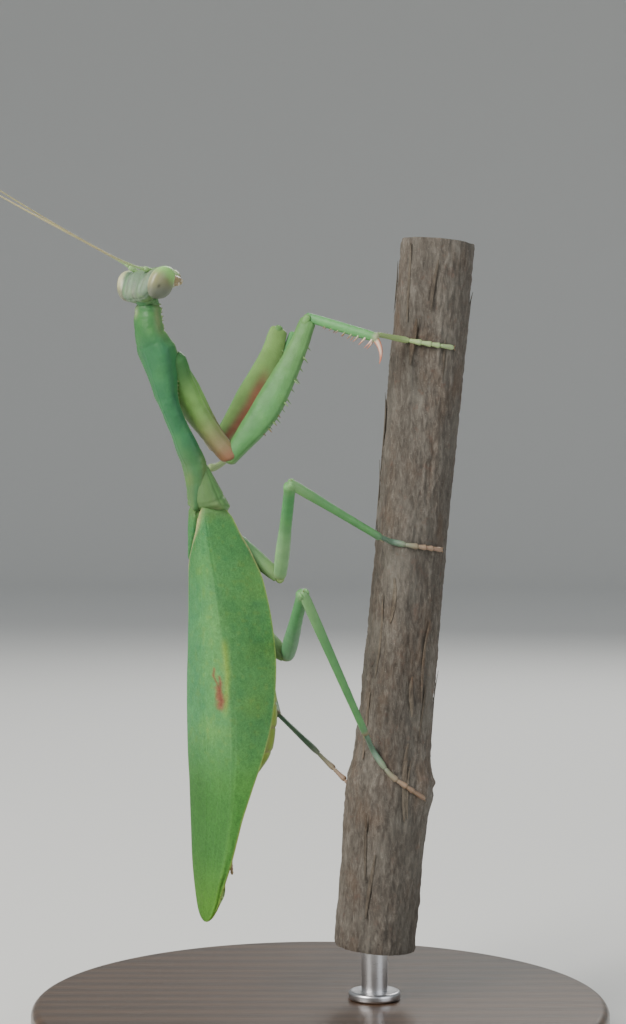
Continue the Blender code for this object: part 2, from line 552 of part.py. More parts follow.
def make_leg(name, plan, around_body):
    kind = name.split("_")[0]
    hip = body_point(*plan["base"])
    elbow = hip + direction(*plan["coxa"][1:]) * plan["coxa"][0]
    femur_way = direction(*plan["femur"][1:])
    knee = elbow + femur_way * plan["femur"][0]
    # the femur's under edge faces the tibia
    tibia_way = direction(*plan["tibia"][1:])
    blade = (tibia_way - femur_way * tibia_way.dot(femur_way)).normalized()
    side = femur_way.cross(blade)
    bend = knee + blade * plan.get("tibia_set_off", 0)
    ankle = bend + tibia_way * plan["tibia"][0]

    bow = plan.get("coxa_bow", 1.0)
    coxa = limb("coxa_" + name, hip, elbow, blade, COXA[kind], "pale_green", bow=bow)
    femur = limb("femur_" + name, elbow, knee, blade, FEMUR[kind], "green")
    tibia = limb("tibia_" + name, bend, ankle, blade, TIBIA[kind], "green")
    around_coxa = limb("around_coxa_" + name, hip, elbow, blade, COXA[kind], "green", GAP, cutters, bow)
    around_femur = limb("around_femur_" + name, elbow, knee, blade, FEMUR[kind], "green", GAP, cutters)
    around_tibia = limb("around_tibia_" + name, bend, ankle, blade, TIBIA[kind], "green", GAP, cutters)

    heel = ankle - tibia_way * 0.5
    if kind == "fore":
        rows = [(FEMUR_SPINES_OUTER, 0.7), (FEMUR_SPINES_INNER, -0.7), (FEMUR_SPINES_DISC, 0.0)]
        add_spines(femur, "femur_" + name, elbow, knee, blade, side, rows, FEMUR["fore"])
        back = -(femur_way - tibia_way * femur_way.dot(tibia_way)).normalized()
        across = tibia_way.cross(back)
        rows = [(TIBIA_SPINES, 0.28), (TIBIA_SPINES, -0.28)]
        add_spines(tibia, "tibia_" + name, ankle, bend, back, across, rows, TIBIA["fore"])
        add_claw(tibia, "tibia_" + name, ankle, tibia_way, back)
        heel -= back * 0.35

    for cutter in around_body:
        cut(coxa, cutter)
    cut(femur, around_coxa)
    cut(tibia, around_femur)

    radius = TARSUS_RADIUS[kind]
    toes = []
    if name in FEET_ON_CANE:
        toes = [on_cane(angle, height, radius + FOOT_CLEARANCE) for angle, height in FEET_ON_CANE[name]]
    else:
        for length, heading, pitch in FREE_TOES[name]:
            toes.append((toes[-1] if toes else heel) + direction(heading, pitch) * length)
    toes = [heel, heel + (toes[0] - heel).normalized()] + toes
    radii = [TARSUS_START] + [radius] * (len(toes) - 2) + [radius * 0.8]
    tarsus = tube("tarsus_" + name, toes, radii, "pale_green")
    cut(tarsus, around_tibia)


make_stand()
around_trunk = make_trunk()
make_head(around_trunk[0])
for leg_name, leg_plan in LEGS.items():
    make_leg(leg_name, leg_plan, around_trunk)
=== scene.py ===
# Looks for the praying mantis on its cane perch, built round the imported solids.
import math

import bpy
import bmesh
import numpy as np
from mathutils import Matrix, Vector


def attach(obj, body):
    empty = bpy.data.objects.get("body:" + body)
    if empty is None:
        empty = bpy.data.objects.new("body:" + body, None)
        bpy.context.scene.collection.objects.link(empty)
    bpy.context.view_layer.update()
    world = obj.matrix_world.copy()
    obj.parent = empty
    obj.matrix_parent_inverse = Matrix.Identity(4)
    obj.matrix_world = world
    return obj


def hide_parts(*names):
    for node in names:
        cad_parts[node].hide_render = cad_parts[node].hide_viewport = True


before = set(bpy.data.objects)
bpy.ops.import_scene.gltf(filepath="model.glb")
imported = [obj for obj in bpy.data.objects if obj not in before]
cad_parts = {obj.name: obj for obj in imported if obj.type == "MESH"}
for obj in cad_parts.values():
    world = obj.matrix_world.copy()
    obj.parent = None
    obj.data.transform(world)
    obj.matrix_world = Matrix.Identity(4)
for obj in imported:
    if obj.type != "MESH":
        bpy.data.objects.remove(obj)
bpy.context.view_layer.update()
print("frame loaded")

# everything is laid out in millimetres from the waist, the hind tip of the pronotum
waist = np.array([-14.0, -1.0, 62.0])
backTurn = math.radians(40.0)
forwardAxis = np.array([0.0, 0.0, 1.0])
rightAxis = np.array([math.sin(backTurn), -math.cos(backTurn), 0.0])
dorsalAxis = np.array([-math.cos(backTurn), -math.sin(backTurn), 0.0])
tableHeight = -waist[2]


def stacked(*parts):
    return np.stack(np.broadcast_arrays(*parts), -1)


def body(forward, right, dorsal):
    forward, right, dorsal = np.broadcast_arrays(forward, right, dorsal)
    return forward[..., None] * forwardAxis + right[..., None] * rightAxis + dorsal[..., None] * dorsalAxis


def heading(turn, pitch):
    turn, pitch = math.radians(turn), math.radians(pitch)
    return np.array([math.cos(pitch) * math.cos(turn), math.cos(pitch) * math.sin(turn), math.sin(pitch)])


def unit(vector):
    vector = np.asarray(vector, float)
    return vector / np.maximum(np.linalg.norm(vector, axis=-1, keepdims=True), 1e-9)


def fullTurn(count):
    return np.linspace(0, math.tau, count, endpoint=False)


def ease(value, low, high):
    share = np.clip((np.asarray(value, float) - low) / (high - low), 0, 1)
    return share * share * (3 - 2 * share)


def hump(value, middle, width):
    return np.exp(-((np.asarray(value, float) - middle) / width) ** 2)


def blend(low, high, share):
    low, high = np.asarray(low, float), np.asarray(high, float)
    return low + (high - low) * np.asarray(share)[..., None]


def coated(tone, *layers):
    # paint laid over paint, each with its share; a list in place of a colour is a gain on the paint below
    for colour, share in layers:
        tone = blend(tone, tone * colour if isinstance(colour, list) else colour, share)
    return tone


def smoothTable(table, places):
    # monotone cubic through the rows of a table, read at many places
    rows = np.array(sorted(table), float)
    x, y = rows[:, 0], rows[:, 1:]
    slope = np.diff(y, axis=0) / np.diff(x)[:, None]
    tangent = np.zeros_like(y)
    tangent[0], tangent[-1] = slope[0], slope[-1]
    same = slope[:-1] * slope[1:] > 0
    total = slope[:-1] + slope[1:]
    tangent[1:-1] = np.where(same, 2 * slope[:-1] * slope[1:] / np.where(same, total, 1), 0)
    places = np.clip(np.asarray(places, float), x[0], x[-1])
    i = np.clip(np.searchsorted(x, places, side="right") - 1, 0, len(x) - 2)
    gap = (x[i + 1] - x[i])[..., None]
    t = (places - x[i])[..., None] / gap
    return ((2 * t ** 3 - 3 * t ** 2 + 1) * y[i] + (t ** 3 - 2 * t ** 2 + t) * gap * tangent[i]
            + (3 * t ** 2 - 2 * t ** 3) * y[i + 1] + (t ** 3 - t ** 2) * gap * tangent[i + 1])


def smoothPath(points, count):
    # a rounded path through a few points, evenly spaced along its length
    points = np.asarray(points, float)
    padded = np.vstack([2 * points[0] - points[1], points, 2 * points[-1] - points[-2]])
    t = np.linspace(0, 1, 24, endpoint=False)[:, None]
    dense = [0.5 * (2 * b + (c - a) * t + (2 * a - 5 * b + 4 * c - d) * t ** 2
                    + (3 * b - a - 3 * c + d) * t ** 3)
             for a, b, c, d in zip(padded, padded[1:], padded[2:], padded[3:])]
    dense = np.vstack(dense + [points[-1:]])
    run = np.concatenate([[0], np.cumsum(np.linalg.norm(np.diff(dense, axis=0), axis=1))])
    marks = np.linspace(0, run[-1], count)
    return np.stack([np.interp(marks, run, dense[:, k]) for k in range(3)], axis=1)


def wobble(spots, scale, seed=0):
    # smooth random values between -1 and 1
    place = np.asarray(spots, float) / scale + seed * 17.31
    cell = np.floor(place).astype(np.int64)
    part = place - cell
    part = part * part * (3 - 2 * part)
    total = 0
    for corner in np.ndindex(2, 2, 2):
        x, y, z = [cell[..., k] + corner[k] for k in range(3)]
        mixed = x * 374761393 + y * 668265263 + z * 974634777 + seed * 12011
        mixed = (mixed ^ (mixed >> 13)) * 1274126177
        value = ((mixed ^ (mixed >> 16)) & 0xFFFF) / 32767.5 - 1
        for k in range(3):
            value = value * (part[..., k] if corner[k] else 1 - part[..., k])
        total = total + value
    return total


def mottle(points, scale, seed):
    # smooth random shares from 0 to 1
    return 0.5 + 0.5 * wobble(points, scale, seed)


class Shell:
    # gathers the points, faces and paint of one piece
    def __init__(self):
        self.points, self.faces, self.paint, self.count = [], [], [], 0

    def add(self, points, faces, paint):
        self.points.append(points)
        self.paint.append(paint)
        self.faces += [[int(i) + self.count for i in face] for face in faces]
        self.count += len(points)

    def grid(self, points, paint, caps=(True, True)):
        # rings of points, each closed on itself; a cap fills the first or the last of them
        rows, cols = points.shape[:2]
        index = np.arange(rows * cols).reshape(rows, cols)
        beside = np.roll(index, -1, axis=1)
        faces = np.stack([index[:-1], beside[:-1], beside[1:], index[1:]], axis=-1).reshape(-1, 4).tolist()
        paint = np.broadcast_to(paint, points.shape)
        flat, colours = points.reshape(-1, 3), paint.reshape(-1, 3)
        for row, first, second in ((0, beside, index), (-1, index, beside)):
            if caps[row]:
                flat = np.vstack([flat, points[row].mean(0)])
                colours = np.vstack([colours, paint[row].mean(0)])
                faces += [[len(flat) - 1, a, b] for a, b in zip(first[row], second[row])]
        self.add(flat, faces, colours)

    def make(self, name, look, slot, stands=(), sharp=60):
        mesh = bpy.data.meshes.new(name)
        mesh.from_pydata(((np.vstack(self.points) + waist) * 0.001).tolist(), [], self.faces)
        layer = mesh.attributes.new("paint", "FLOAT_COLOR", "POINT")
        paint = np.clip(np.vstack(self.paint), 0, 1)
        paint = np.hstack([paint, np.ones((len(paint), 1))])
        layer.data.foreach_set("color", paint.astype(np.float32).ravel())
        mesh.validate()
        solid = bmesh.new()
        solid.from_mesh(mesh)
        bmesh.ops.recalc_face_normals(solid, faces=solid.faces)
        solid.to_mesh(mesh)
        solid.free()
        mesh.shade_smooth()
        mesh.set_sharp_from_angle(angle=math.radians(sharp))
        mesh.materials.append(look)
        piece = bpy.data.objects.new(name, mesh)
        bpy.context.scene.collection.objects.link(piece)
        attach(piece, "root")
        if stands:
            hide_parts(*stands)
        print(name, len(mesh.vertices), "points")


def rounding(share, low, high):
    # draws the ends of a swept form in to a dome
    near = np.clip(share / low, 0, 1) if low else np.ones_like(share)
    far = np.clip((1 - share) / high, 0, 1) if high else np.ones_like(share)
    return np.sqrt(np.clip(1 - (1 - near) ** 2, 0, 1)) * np.sqrt(np.clip(1 - (1 - far) ** 2, 0, 1))


def sweep(shell, centres, side, up, width, above, below, cols, paint, square=2.0, relief=None,
          ends=(0.03, 0.03), settle=None):
    # a closed form along a line of centres, above lying up; paint and relief take (share, turn, points)
    rows = len(centres)
    turn = fullTurn(cols)
    share, turn = np.meshgrid(np.linspace(0, 1, rows), turn, indexing="ij")
    across, rise = np.cos(turn), np.sin(turn)
    reach = (np.abs(across) ** square + np.abs(rise) ** square) ** (-1 / square)
    soft = rounding(share, *ends)
    x = (across * reach * width[:, None] * soft)[..., None]
    y = (rise * reach * np.where(rise > 0, above[:, None], below[:, None]) * soft)[..., None]
    side, up = [np.broadcast_to(way, (rows, 3))[:, None] for way in (side, up)]
    points = centres[:, None] + x * side + y * up
    if relief is not None:
        outward = unit(x * side / np.maximum(width[:, None, None], 0.05) ** 2
                       + y * up / np.maximum(above[:, None, None], 0.05) ** 2)
        points = points + outward * (relief(share, turn, points) * soft ** 0.5)[..., None]
    colours = paint(share, turn, points) if callable(paint) else paint
    shell.grid(settle(points) if settle else points, colours)


def spike(shell, base, tip, radius, paint, bend=None, tipPaint=None, sides=8, rows=7):
    # a small curved cone
    base, tip = np.asarray(base, float), np.asarray(tip, float)
    share = np.linspace(0, 1, rows)[:, None]
    path = base + (tip - base) * share
    if bend is not None:
        path = path + np.asarray(bend) * (4 * share * (1 - share))
    along = unit(tip - base)
    side = unit(np.cross(along, [0.31, 0.52, 0.8]))
    up = np.cross(along, side)
    turn = fullTurn(sides)[:, None]
    radii = radius * (1 - share[:, 0]) ** 0.8 + 0.012
    points = path[:, None] + radii[:, None, None] * (np.cos(turn) * side + np.sin(turn) * up)
    tipPaint = paint if tipPaint is None else tipPaint
    shell.grid(points, blend(paint, tipPaint, np.broadcast_to(ease(share, 0.1, 0.9), (rows, sides))))


def tubeFrames(path, up):
    along = unit(np.gradient(path, axis=0))
    up = np.broadcast_to(up, path.shape)
    up = unit(up - along * np.sum(up * along, axis=1, keepdims=True))
    return np.cross(along, up), up


def bentTube(shell, points, radii, count, cols, paint, relief=None, ends=(0.05, 0.08)):
    path = smoothPath(points, count)
    side, up = tubeFrames(path, forwardAxis)
    radius = np.interp(np.linspace(0, 1, count), np.linspace(0, 1, len(radii)), radii)
    sweep(shell, path, side, up, radius, radius, radius, cols, paint, relief=relief, ends=ends)


class Wire:
    # a shader socket that can stand in sums
    def __init__(self, tree, socket=None):
        self.tree, self.socket = tree, socket

    def node(self, kind, settings=None, values=None, out=0):
        made = self.tree.nodes.new(kind)
        for key, value in (settings or {}).items():
            if key == "stops":
                bar = made.color_ramp.elements
                bar[0].position, bar[-1].position = value[0][0], value[-1][0]
                for spot, _ in value[1:-1]:
                    bar.new(spot)
                for stop, (_, colour) in zip(bar, value):
                    stop.color = (*colour, 1)
            else:
                setattr(made, key, value)
        for key, value in (values or {}).items():
            if isinstance(value, Wire):
                self.tree.links.new(value.socket, made.inputs[key])
            else:
                made.inputs[key].default_value = value
        return Wire(self.tree, made.outputs[out])

    def maths(self, operation, first, second):
        return self.node("ShaderNodeMath", {"operation": operation}, {0: first, 1: second})

    def __add__(self, other):
        return self.maths("ADD", self, other)

    def __sub__(self, other):
        return self.maths("SUBTRACT", self, other)

    def __rsub__(self, other):
        return self.maths("SUBTRACT", other, self)

    def __mul__(self, other):
        return self.maths("MULTIPLY", self, other)

    __radd__, __rmul__ = __add__, __mul__

    def place(self):
        # millimetres on the object
        return self.node("ShaderNodeTexCoord", out="Object").scaled((1000.0,) * 3)

    def paint(self):
        return self.node("ShaderNodeAttribute", {"attribute_name": "paint"})

    def scaled(self, size):
        return self.node("ShaderNodeMapping", {}, {"Vector": self, "Scale": size})

    def stirred(self, scale, reach):
        # self is a place, pushed about by a soft noise
        push = self.node("ShaderNodeTexNoise", {}, {"Vector": self, "Scale": scale, "Detail": 2.0}, "Color")
        push = push.scaled((reach,) * 3)
        return self.node("ShaderNodeVectorMath", {"operation": "ADD"}, {0: self, 1: push})

    def noise(self, scale, detail=3.0, rough=0.5, warp=0.0):
        return self.node("ShaderNodeTexNoise", {}, {"Vector": self, "Scale": scale, "Detail": detail,
                                                    "Roughness": rough, "Distortion": warp})

    def cells(self, scale, feature="F1"):
        return self.node("ShaderNodeTexVoronoi", {"feature": feature}, {"Vector": self, "Scale": scale},
                         "Distance")

    def between(self, low, high):
        # 0 below low, 1 above high, smooth in the middle
        return self.node("ShaderNodeMapRange", {"interpolation_type": "SMOOTHSTEP"},
                         {"Value": self, "From Min": low, "From Max": high})

    def ramp(self, *stops):
        return self.node("ShaderNodeValToRGB", {"stops": stops}, {"Fac": self})

    def mix(self, low, high):
        # self is the share of high over low
        return self.node("ShaderNodeMix", {"data_type": "RGBA", "clamp_result": True},
                         {0: self, 6: low, 7: high}, out=2)

    def tint(self, amount):
        # self is a colour, made lighter or darker by a value near 1
        return self.node("ShaderNodeMix", {"data_type": "RGBA", "blend_type": "MULTIPLY"},
                         {0: 1.0, 6: self, 7: amount}, out=2)

    def bump(self, strength, distance):
        # self is the height
        return self.node("ShaderNodeBump", {}, {"Strength": strength, "Distance": distance, "Height": self})


def newLook(name, constants):
    # a material with its fixed shader values, and a Wire to build with
    look = bpy.data.materials.new(name)
    look.use_nodes = True
    for key, value in constants.items():
        look.node_tree.nodes["Principled BSDF"].inputs[key].default_value = value
    return look, Wire(look.node_tree)


def plug(look, **inputs):
    shader = look.node_tree.nodes["Principled BSDF"]
    for key, wire in inputs.items():
        look.node_tree.links.new(wire.socket, shader.inputs[key.replace("_", " ")])
    return look


cuticleLook = {"roughness": 0.52, "mottle": 0.3, "specular": 0.35, "subsurface": 0.1,
               "radius": (0.4, 0.9, 0.25), "warm": (1.12, 1.02, 0.8, 1)}


def cuticleMaterial():
    look, wire = newLook("cuticle", {
        "Subsurface Weight": cuticleLook["subsurface"], "Subsurface Radius": cuticleLook["radius"],
        "Subsurface Scale": 0.0008, "Coat Roughness": 0.3, "Specular IOR Level": cuticleLook["specular"]})
    place = wire.place()
    broad, fine, cells = place.noise(0.55, 3, 0.55), place.noise(4.5, 4, 0.6), place.cells(6.5)
    toned = wire.paint().tint((broad - 0.5) * cuticleLook["mottle"] + (fine - 0.5) * 0.16
                              + (cells - 0.4) * -0.06 + 1.0)
    height = (fine - 0.5) * 0.8 + (1.0 - cells) * 0.6 + (place.noise(14.0, 2, 0.5) - 0.5) * 0.35
    colour = (broad.between(0.5, 0.75) * 0.35).mix(toned, toned.tint(cuticleLook["warm"]))
    return plug(look, Base_Color=colour,
                Normal=height.bump(0.55, 0.00004),
                Roughness=(fine - 0.5) * 0.3 + (broad - 0.5) * 0.12 + cuticleLook["roughness"],
                Coat_Weight=broad.between(0.35, 0.7) * 0.06)


wingLook = {"specular": 0.28, "netScale": 2.3, "fineNet": 6.5, "warm": (1.14, 1.02, 0.82, 1)}


def wingMaterial(name, roughness, subsurface):
    look, wire = newLook(name, {
        "Subsurface Weight": subsurface, "Subsurface Radius": (0.35, 0.8, 0.2),
        "Subsurface Scale": 0.0008, "Specular IOR Level": wingLook["specular"], "Coat Roughness": 0.3})
    place = wire.place()
    drawn = place.stirred(1.4, 1.0).scaled((1.0, 1.0, 0.55))    # the cells of the net are longer than wide
    veins = 1.0 - drawn.cells(wingLook["netScale"], "DISTANCE_TO_EDGE").between(0.0, 0.07)
    small = 1.0 - drawn.cells(wingLook["fineNet"], "DISTANCE_TO_EDGE").between(0.0, 0.09)
    broad, streak = place.noise(0.22, 3, 0.5), place.scaled((1.0, 1.0, 0.12)).noise(1.6, 3, 0.55)
    fine, curl = place.noise(6.0, 3, 0.6), place.noise(2.4, 5, 0.65, 1.2)
    toned = wire.paint().tint((broad - 0.5) * 0.34 + (streak - 0.5) * 0.14 + (curl - 0.5) * 1.1
                              + (fine - 0.5) * 0.5 + veins * 0.16 + small * 0.07 + 0.96)
    height = veins * 0.6 + small * 0.25 + (fine - 0.5) * 0.3 + (curl - 0.5) * 0.9
    colour = (broad.between(0.45, 0.75) * 0.5).mix(toned, toned.tint(wingLook["warm"]))
    return plug(look, Base_Color=colour,
                Normal=height.bump(0.5, 0.00006),
                Roughness=(fine - 0.5) * 0.25 + veins * -0.06 + roughness,
                Coat_Weight=broad.between(0.4, 0.8) * 0.04)


def eyeMaterial():
    look, wire = newLook("eyes", {
        "Coat Roughness": 0.25, "Subsurface Weight": 0.2, "Subsurface Radius": (0.4, 0.5, 0.25),
        "Subsurface Scale": 0.0008, "IOR": 1.5})
    place = wire.place()
    facets, cloudy = place.cells(16.0), place.noise(1.2, 3, 0.5)
    return plug(look, Base_Color=wire.paint().tint((cloudy - 0.5) * 0.2 + (facets - 0.4) * -0.08 + 1.0),
                Normal=(1.0 - facets).bump(0.25, 0.00001), Roughness=(cloudy - 0.5) * 0.1 + 0.42,
                Coat_Weight=(cloudy - 0.5) * 0.15 + 0.14)


def hornMaterial():
    look, wire = newLook("horn", {
        "Coat Roughness": 0.12, "Subsurface Weight": 0.15, "Subsurface Radius": (0.5, 0.4, 0.2),
        "Subsurface Scale": 0.0006, "IOR": 1.54})
    fine = wire.place().noise(7.0, 3, 0.55)
    return plug(look, Base_Color=wire.paint().tint((fine - 0.5) * 0.3 + 1.0), Normal=fine.bump(0.3, 0.00002),
                Roughness=(fine - 0.5) * 0.2 + 0.42, Coat_Weight=(fine - 0.5) * 0.15 + 0.12)


barkLook = {"dark": (0.035, 0.03, 0.026), "mid": (0.12, 0.103, 0.086), "pale": (0.27, 0.25, 0.22),
            "aged": (0.2, 0.19, 0.165, 1), "brown": (0.14, 0.085, 0.05, 1), "rusty": (0.16, 0.085, 0.06, 1),
            "dots": (0.3, 0.285, 0.25, 1)}


def barkMaterial():
    look, wire = newLook("bark", {"Roughness": 0.9, "IOR": 1.4, "Coat Roughness": 0.5})
    place = wire.place()
    fibre = place.scaled((1.0, 1.0, 0.3)).noise(1.9, 7, 0.68, 0.8)
    thread = place.scaled((1.0, 1.0, 0.22)).noise(5.0, 5, 0.7, 0.5)
    patch, speck = place.scaled((1.0, 1.0, 0.4)).noise(0.35, 4, 0.55), place.noise(5.5, 4, 0.7)
    grain = (fibre * 0.55 + thread * 0.45).ramp((0.32, barkLook["dark"]), (0.5, barkLook["mid"]),
                                                (0.72, barkLook["pale"]))
    aged = (patch.between(0.45, 0.7) * 0.45).mix(grain, barkLook["aged"])
    brown = ((1.0 - patch.between(0.3, 0.5)) * 0.35).mix(aged, barkLook["brown"])
    rusty = (place.noise(0.9, 5, 0.7).between(0.56, 0.7) * 0.35).mix(brown, barkLook["rusty"])
    dotted = (speck.between(0.58, 0.7) * 0.55).mix(rusty, barkLook["dots"])
    return plug(look, Base_Color=dotted.tint(wire.paint()), Roughness=(thread - 0.5) * 0.2 + 0.86,
                Normal=(fibre * 0.7 + thread * 0.5 + speck * 0.35).bump(0.85, 0.00022))


woodLook = {"dark": (0.03, 0.017, 0.01), "mid": (0.07, 0.038, 0.02), "pale": (0.12, 0.065, 0.034)}


def woodMaterial():
    look, wire = newLook("base_wood", {"Coat Roughness": 0.15, "IOR": 1.5})
    place = wire.place()
    rings = wire.node("ShaderNodeTexWave", {"bands_direction": "Y"},
                      {"Vector": place.scaled((0.08, 1.0, 1.0)).stirred(0.12, 3.0), "Scale": 0.1,
                       "Distortion": 3.0, "Detail": 3.0, "Detail Scale": 0.8})
    pore = place.scaled((0.06, 1.0, 1.0)).noise(3.5, 4, 0.65)
    colour = (rings * 0.3 + pore * 0.6).ramp((0.2, woodLook["dark"]), (0.55, woodLook["mid"]),
                                             (0.85, woodLook["pale"]))
    return plug(look, Base_Color=colour, Normal=pore.bump(0.3, 0.00008), Roughness=(pore - 0.5) * 0.25 + 0.36,
                Coat_Weight=(pore - 0.5) * 0.2 + 0.35)


def steelMaterial():
    look, wire = newLook("rod_steel", {"Metallic": 1.0})
    place = wire.place()
    brushed, cloudy = place.scaled((1.0, 1.0, 14.0)).noise(1.2, 4, 0.6), place.noise(0.4, 2, 0.5)
    colour = (cloudy * 0.4 + brushed * 0.4).mix((0.5, 0.5, 0.52, 1), (0.68, 0.68, 0.69, 1))
    return plug(look, Base_Color=colour, Normal=brushed.bump(0.2, 0.00002),
                Roughness=(brushed - 0.5) * 0.3 + 0.32)


cuticle = cuticleMaterial()
forewing, hindwing = wingMaterial("forewing", 0.6, 0.1), wingMaterial("hindwing", 0.4, 0.3)
eyeGloss, horn, bark = eyeMaterial(), hornMaterial(), barkMaterial()
wood, steel = woodMaterial(), steelMaterial()
print("materials made")

tones = {"pronotum": (0.032, 0.167, 0.058), "pronotumShade": (0.022, 0.125, 0.052), "edge": (0.2, 0.3, 0.11),
         "prozone": (0.047, 0.173, 0.045), "neck": (0.05, 0.17, 0.06), "rear": (0.088, 0.17, 0.054),
         "meso": (0.09, 0.187, 0.057), "pleuron": (0.3, 0.33, 0.16), "under": (0.12, 0.28, 0.085),
         "coxa": (0.18, 0.36, 0.09), "coxaTan": (0.23, 0.145, 0.09), "femur": (0.07, 0.22, 0.06),
         "femurPale": (0.115, 0.26, 0.075), "red": (0.2, 0.075, 0.04), "tibia": (0.094, 0.3, 0.1),
         "leg": (0.075, 0.245, 0.075), "legPale": (0.15, 0.32, 0.12), "yellow": (0.27, 0.33, 0.11),
         "tarsus": (0.105, 0.175, 0.12), "tarsusTan": (0.26, 0.175, 0.12), "abdomen": (0.27, 0.38, 0.06),
         "membrane": (0.3, 0.3, 0.13), "vertex": (0.152, 0.232, 0.148), "lilac": (0.215, 0.2, 0.185),
         "face": (0.15, 0.29, 0.07), "cream": (0.5, 0.49, 0.3)}


def paintOf(*names):
    return [np.array(tones[name]) for name in names]


wingShape = {
    # forward, half width of the flat part, its height, width of the hanging side field
    "rows": [(1.35, 1.1, 0.62, 1.7), (0.2, 1.4, 0.52, 3.0), (-2.5, 1.5, 0.42, 4.4), (-5.0, 1.75, 0.3, 5.55),
             (-8.0, 2.2, 0.0, 6.3), (-12.0, 2.8, -0.4, 6.5), (-16.0, 3.4, -0.75, 6.35),
             (-20.0, 3.9, -1.0, 5.85), (-24.0, 4.2, -1.25, 5.0), (-28.0, 4.35, -1.5, 3.7),
             (-32.0, 4.2, -1.68, 2.3), (-36.0, 3.85, -1.62, 1.3), (-40.0, 3.25, -1.38, 0.85),
             (-43.0, 2.45, -1.15, 0.6), (-45.3, 1.75, -1.05, 0.42), (-46.4, 1.15, -1.0, 0.28),
             (-46.9, 0.62, -1.0, 0.14), (-47.1, 0.15, -1.0, 0.04)],
    "slope": math.radians(64), "crown": 0.12, "layer": 0.28, "fold": 0.26,
    "hang": (0.643, 0.766)}    # the way out and down to the inside of the hanging edge


def wingRows(forward):
    return np.moveaxis(smoothTable(wingShape["rows"], forward), -1, 0)


def underWings(points):
    # keeps the trunk below the folded wings and inside their hanging edges
    forward = points[..., 2]
    width, height, field = wingRows(forward)
    rise, reach = math.sin(wingShape["slope"]), math.cos(wingShape["slope"])
    out, down = wingShape["hang"]
    inset = 3 * wingShape["layer"] + 0.15
    flat, inner = height - inset, width - inset * math.tan(wingShape["slope"] / 2)
    within = ease(-forward, -0.9, 0.4) * ease(forward, -47.5, -46.5)

    def pressed(spots, edge, way):
        over = spots @ way - edge
        over = 0.5 * (over + np.sqrt(over ** 2 + 0.05)) * within
        return spots - over[..., None] * way

    points = pressed(points, flat, dorsalAxis)
    hanging = out * (width + field * reach) + down * (field * rise - height) - 0.4
    hanging = hanging + 3 * ease(-forward, 14.5, 18) + 3 * ease(forward, 0.3, 1.6)
    for hand in (-1, 1):
        points = pressed(points, inner * rise + flat * reach, rightAxis * hand * rise + dorsalAxis * reach)
        points = pressed(points, hanging, out * hand * rightAxis - down * dorsalAxis)
    return points


trunkShape = {
    # forward, dorsal, half width, height above and below
    "prothorax": [(23.75, 6.95, 0.85, 0.75, 0.75), (23.35, 7.0, 1.26, 1.08, 1.05),
                  (22.6, 7.05, 1.6, 1.25, 1.2), (21.7, 7.1, 1.75, 1.3, 1.3),
                  (20.3, 7.0, 1.82, 1.32, 1.4), (19.2, 6.6, 2.2, 1.35, 1.65),
                  (18.1, 6.15, 2.65, 1.24, 2.0), (17.0, 5.7, 2.5, 1.2, 2.0), (15.4, 5.15, 2.0, 1.15, 1.65),
                  (13.5, 4.6, 1.6, 1.1, 1.05), (11.4, 3.7, 1.3, 1.05, 0.8), (9.4, 2.55, 1.3, 1.12, 0.75),
                  (7.3, 1.45, 1.5, 1.25, 0.9), (5.2, 0.5, 1.65, 1.15, 0.95), (3.6, 0.35, 1.45, 0.95, 0.5),
                  (2.0, 0.2, 1.15, 0.92, 0.3), (0.1, 0.0, 0.35, 0.8, 0.1)],
    "pterothorax": [(5.6, 0.2, 1.2, 0.8, 0.9), (4.5, -0.1, 1.55, 1.2, 1.3), (2.4, -0.6, 2.15, 1.55, 2.05),
                    (0.8, -1.1, 2.55, 1.7, 2.45), (-1.5, -2.0, 3.0, 2.15, 2.9), (-3.8, -3.1, 3.3, 2.3, 3.3),
                    (-8.0, -4.4, 3.6, 2.2, 3.4), (-12.0, -5.1, 3.55, 2.2, 3.2), (-16.0, -5.6, 3.4, 2.0, 2.7)],
    "abdomen": [(-14.0, -5.5, 3.0, 1.8, 2.3), (-15.8, -5.7, 4.0, 2.2, 2.9), (-18.5, -6.0, 5.1, 2.5, 3.0),
                (-23.0, -6.3, 5.6, 2.6, 2.9), (-27.0, -6.1, 5.1, 2.4, 2.7), (-29.5, -5.3, 3.7, 1.9, 2.4),
                (-32.0, -4.5, 2.4, 1.6, 2.1), (-35.0, -4.0, 1.6, 1.3, 1.7), (-38.0, -3.8, 1.1, 1.0, 1.2),
                (-39.5, -3.7, 0.8, 0.6, 0.8)]}


def trunkSweep(part, count, cols, paint, relief, ends, square=2.0, settle=underWings):
    rows = trunkShape[part]
    places = np.linspace(rows[0][0], rows[-1][0], count)
    dorsal, width, above, below = smoothTable(rows, places).T
    centres = body(places, 0, dorsal)
    side, up = tubeFrames(centres, dorsalAxis)
    side = np.where(np.sum(side * rightAxis, axis=1, keepdims=True) < 0, -side, side)
    sweep(skin, centres, side, up, width, above, below, cols, paint, square, relief, ends, settle)


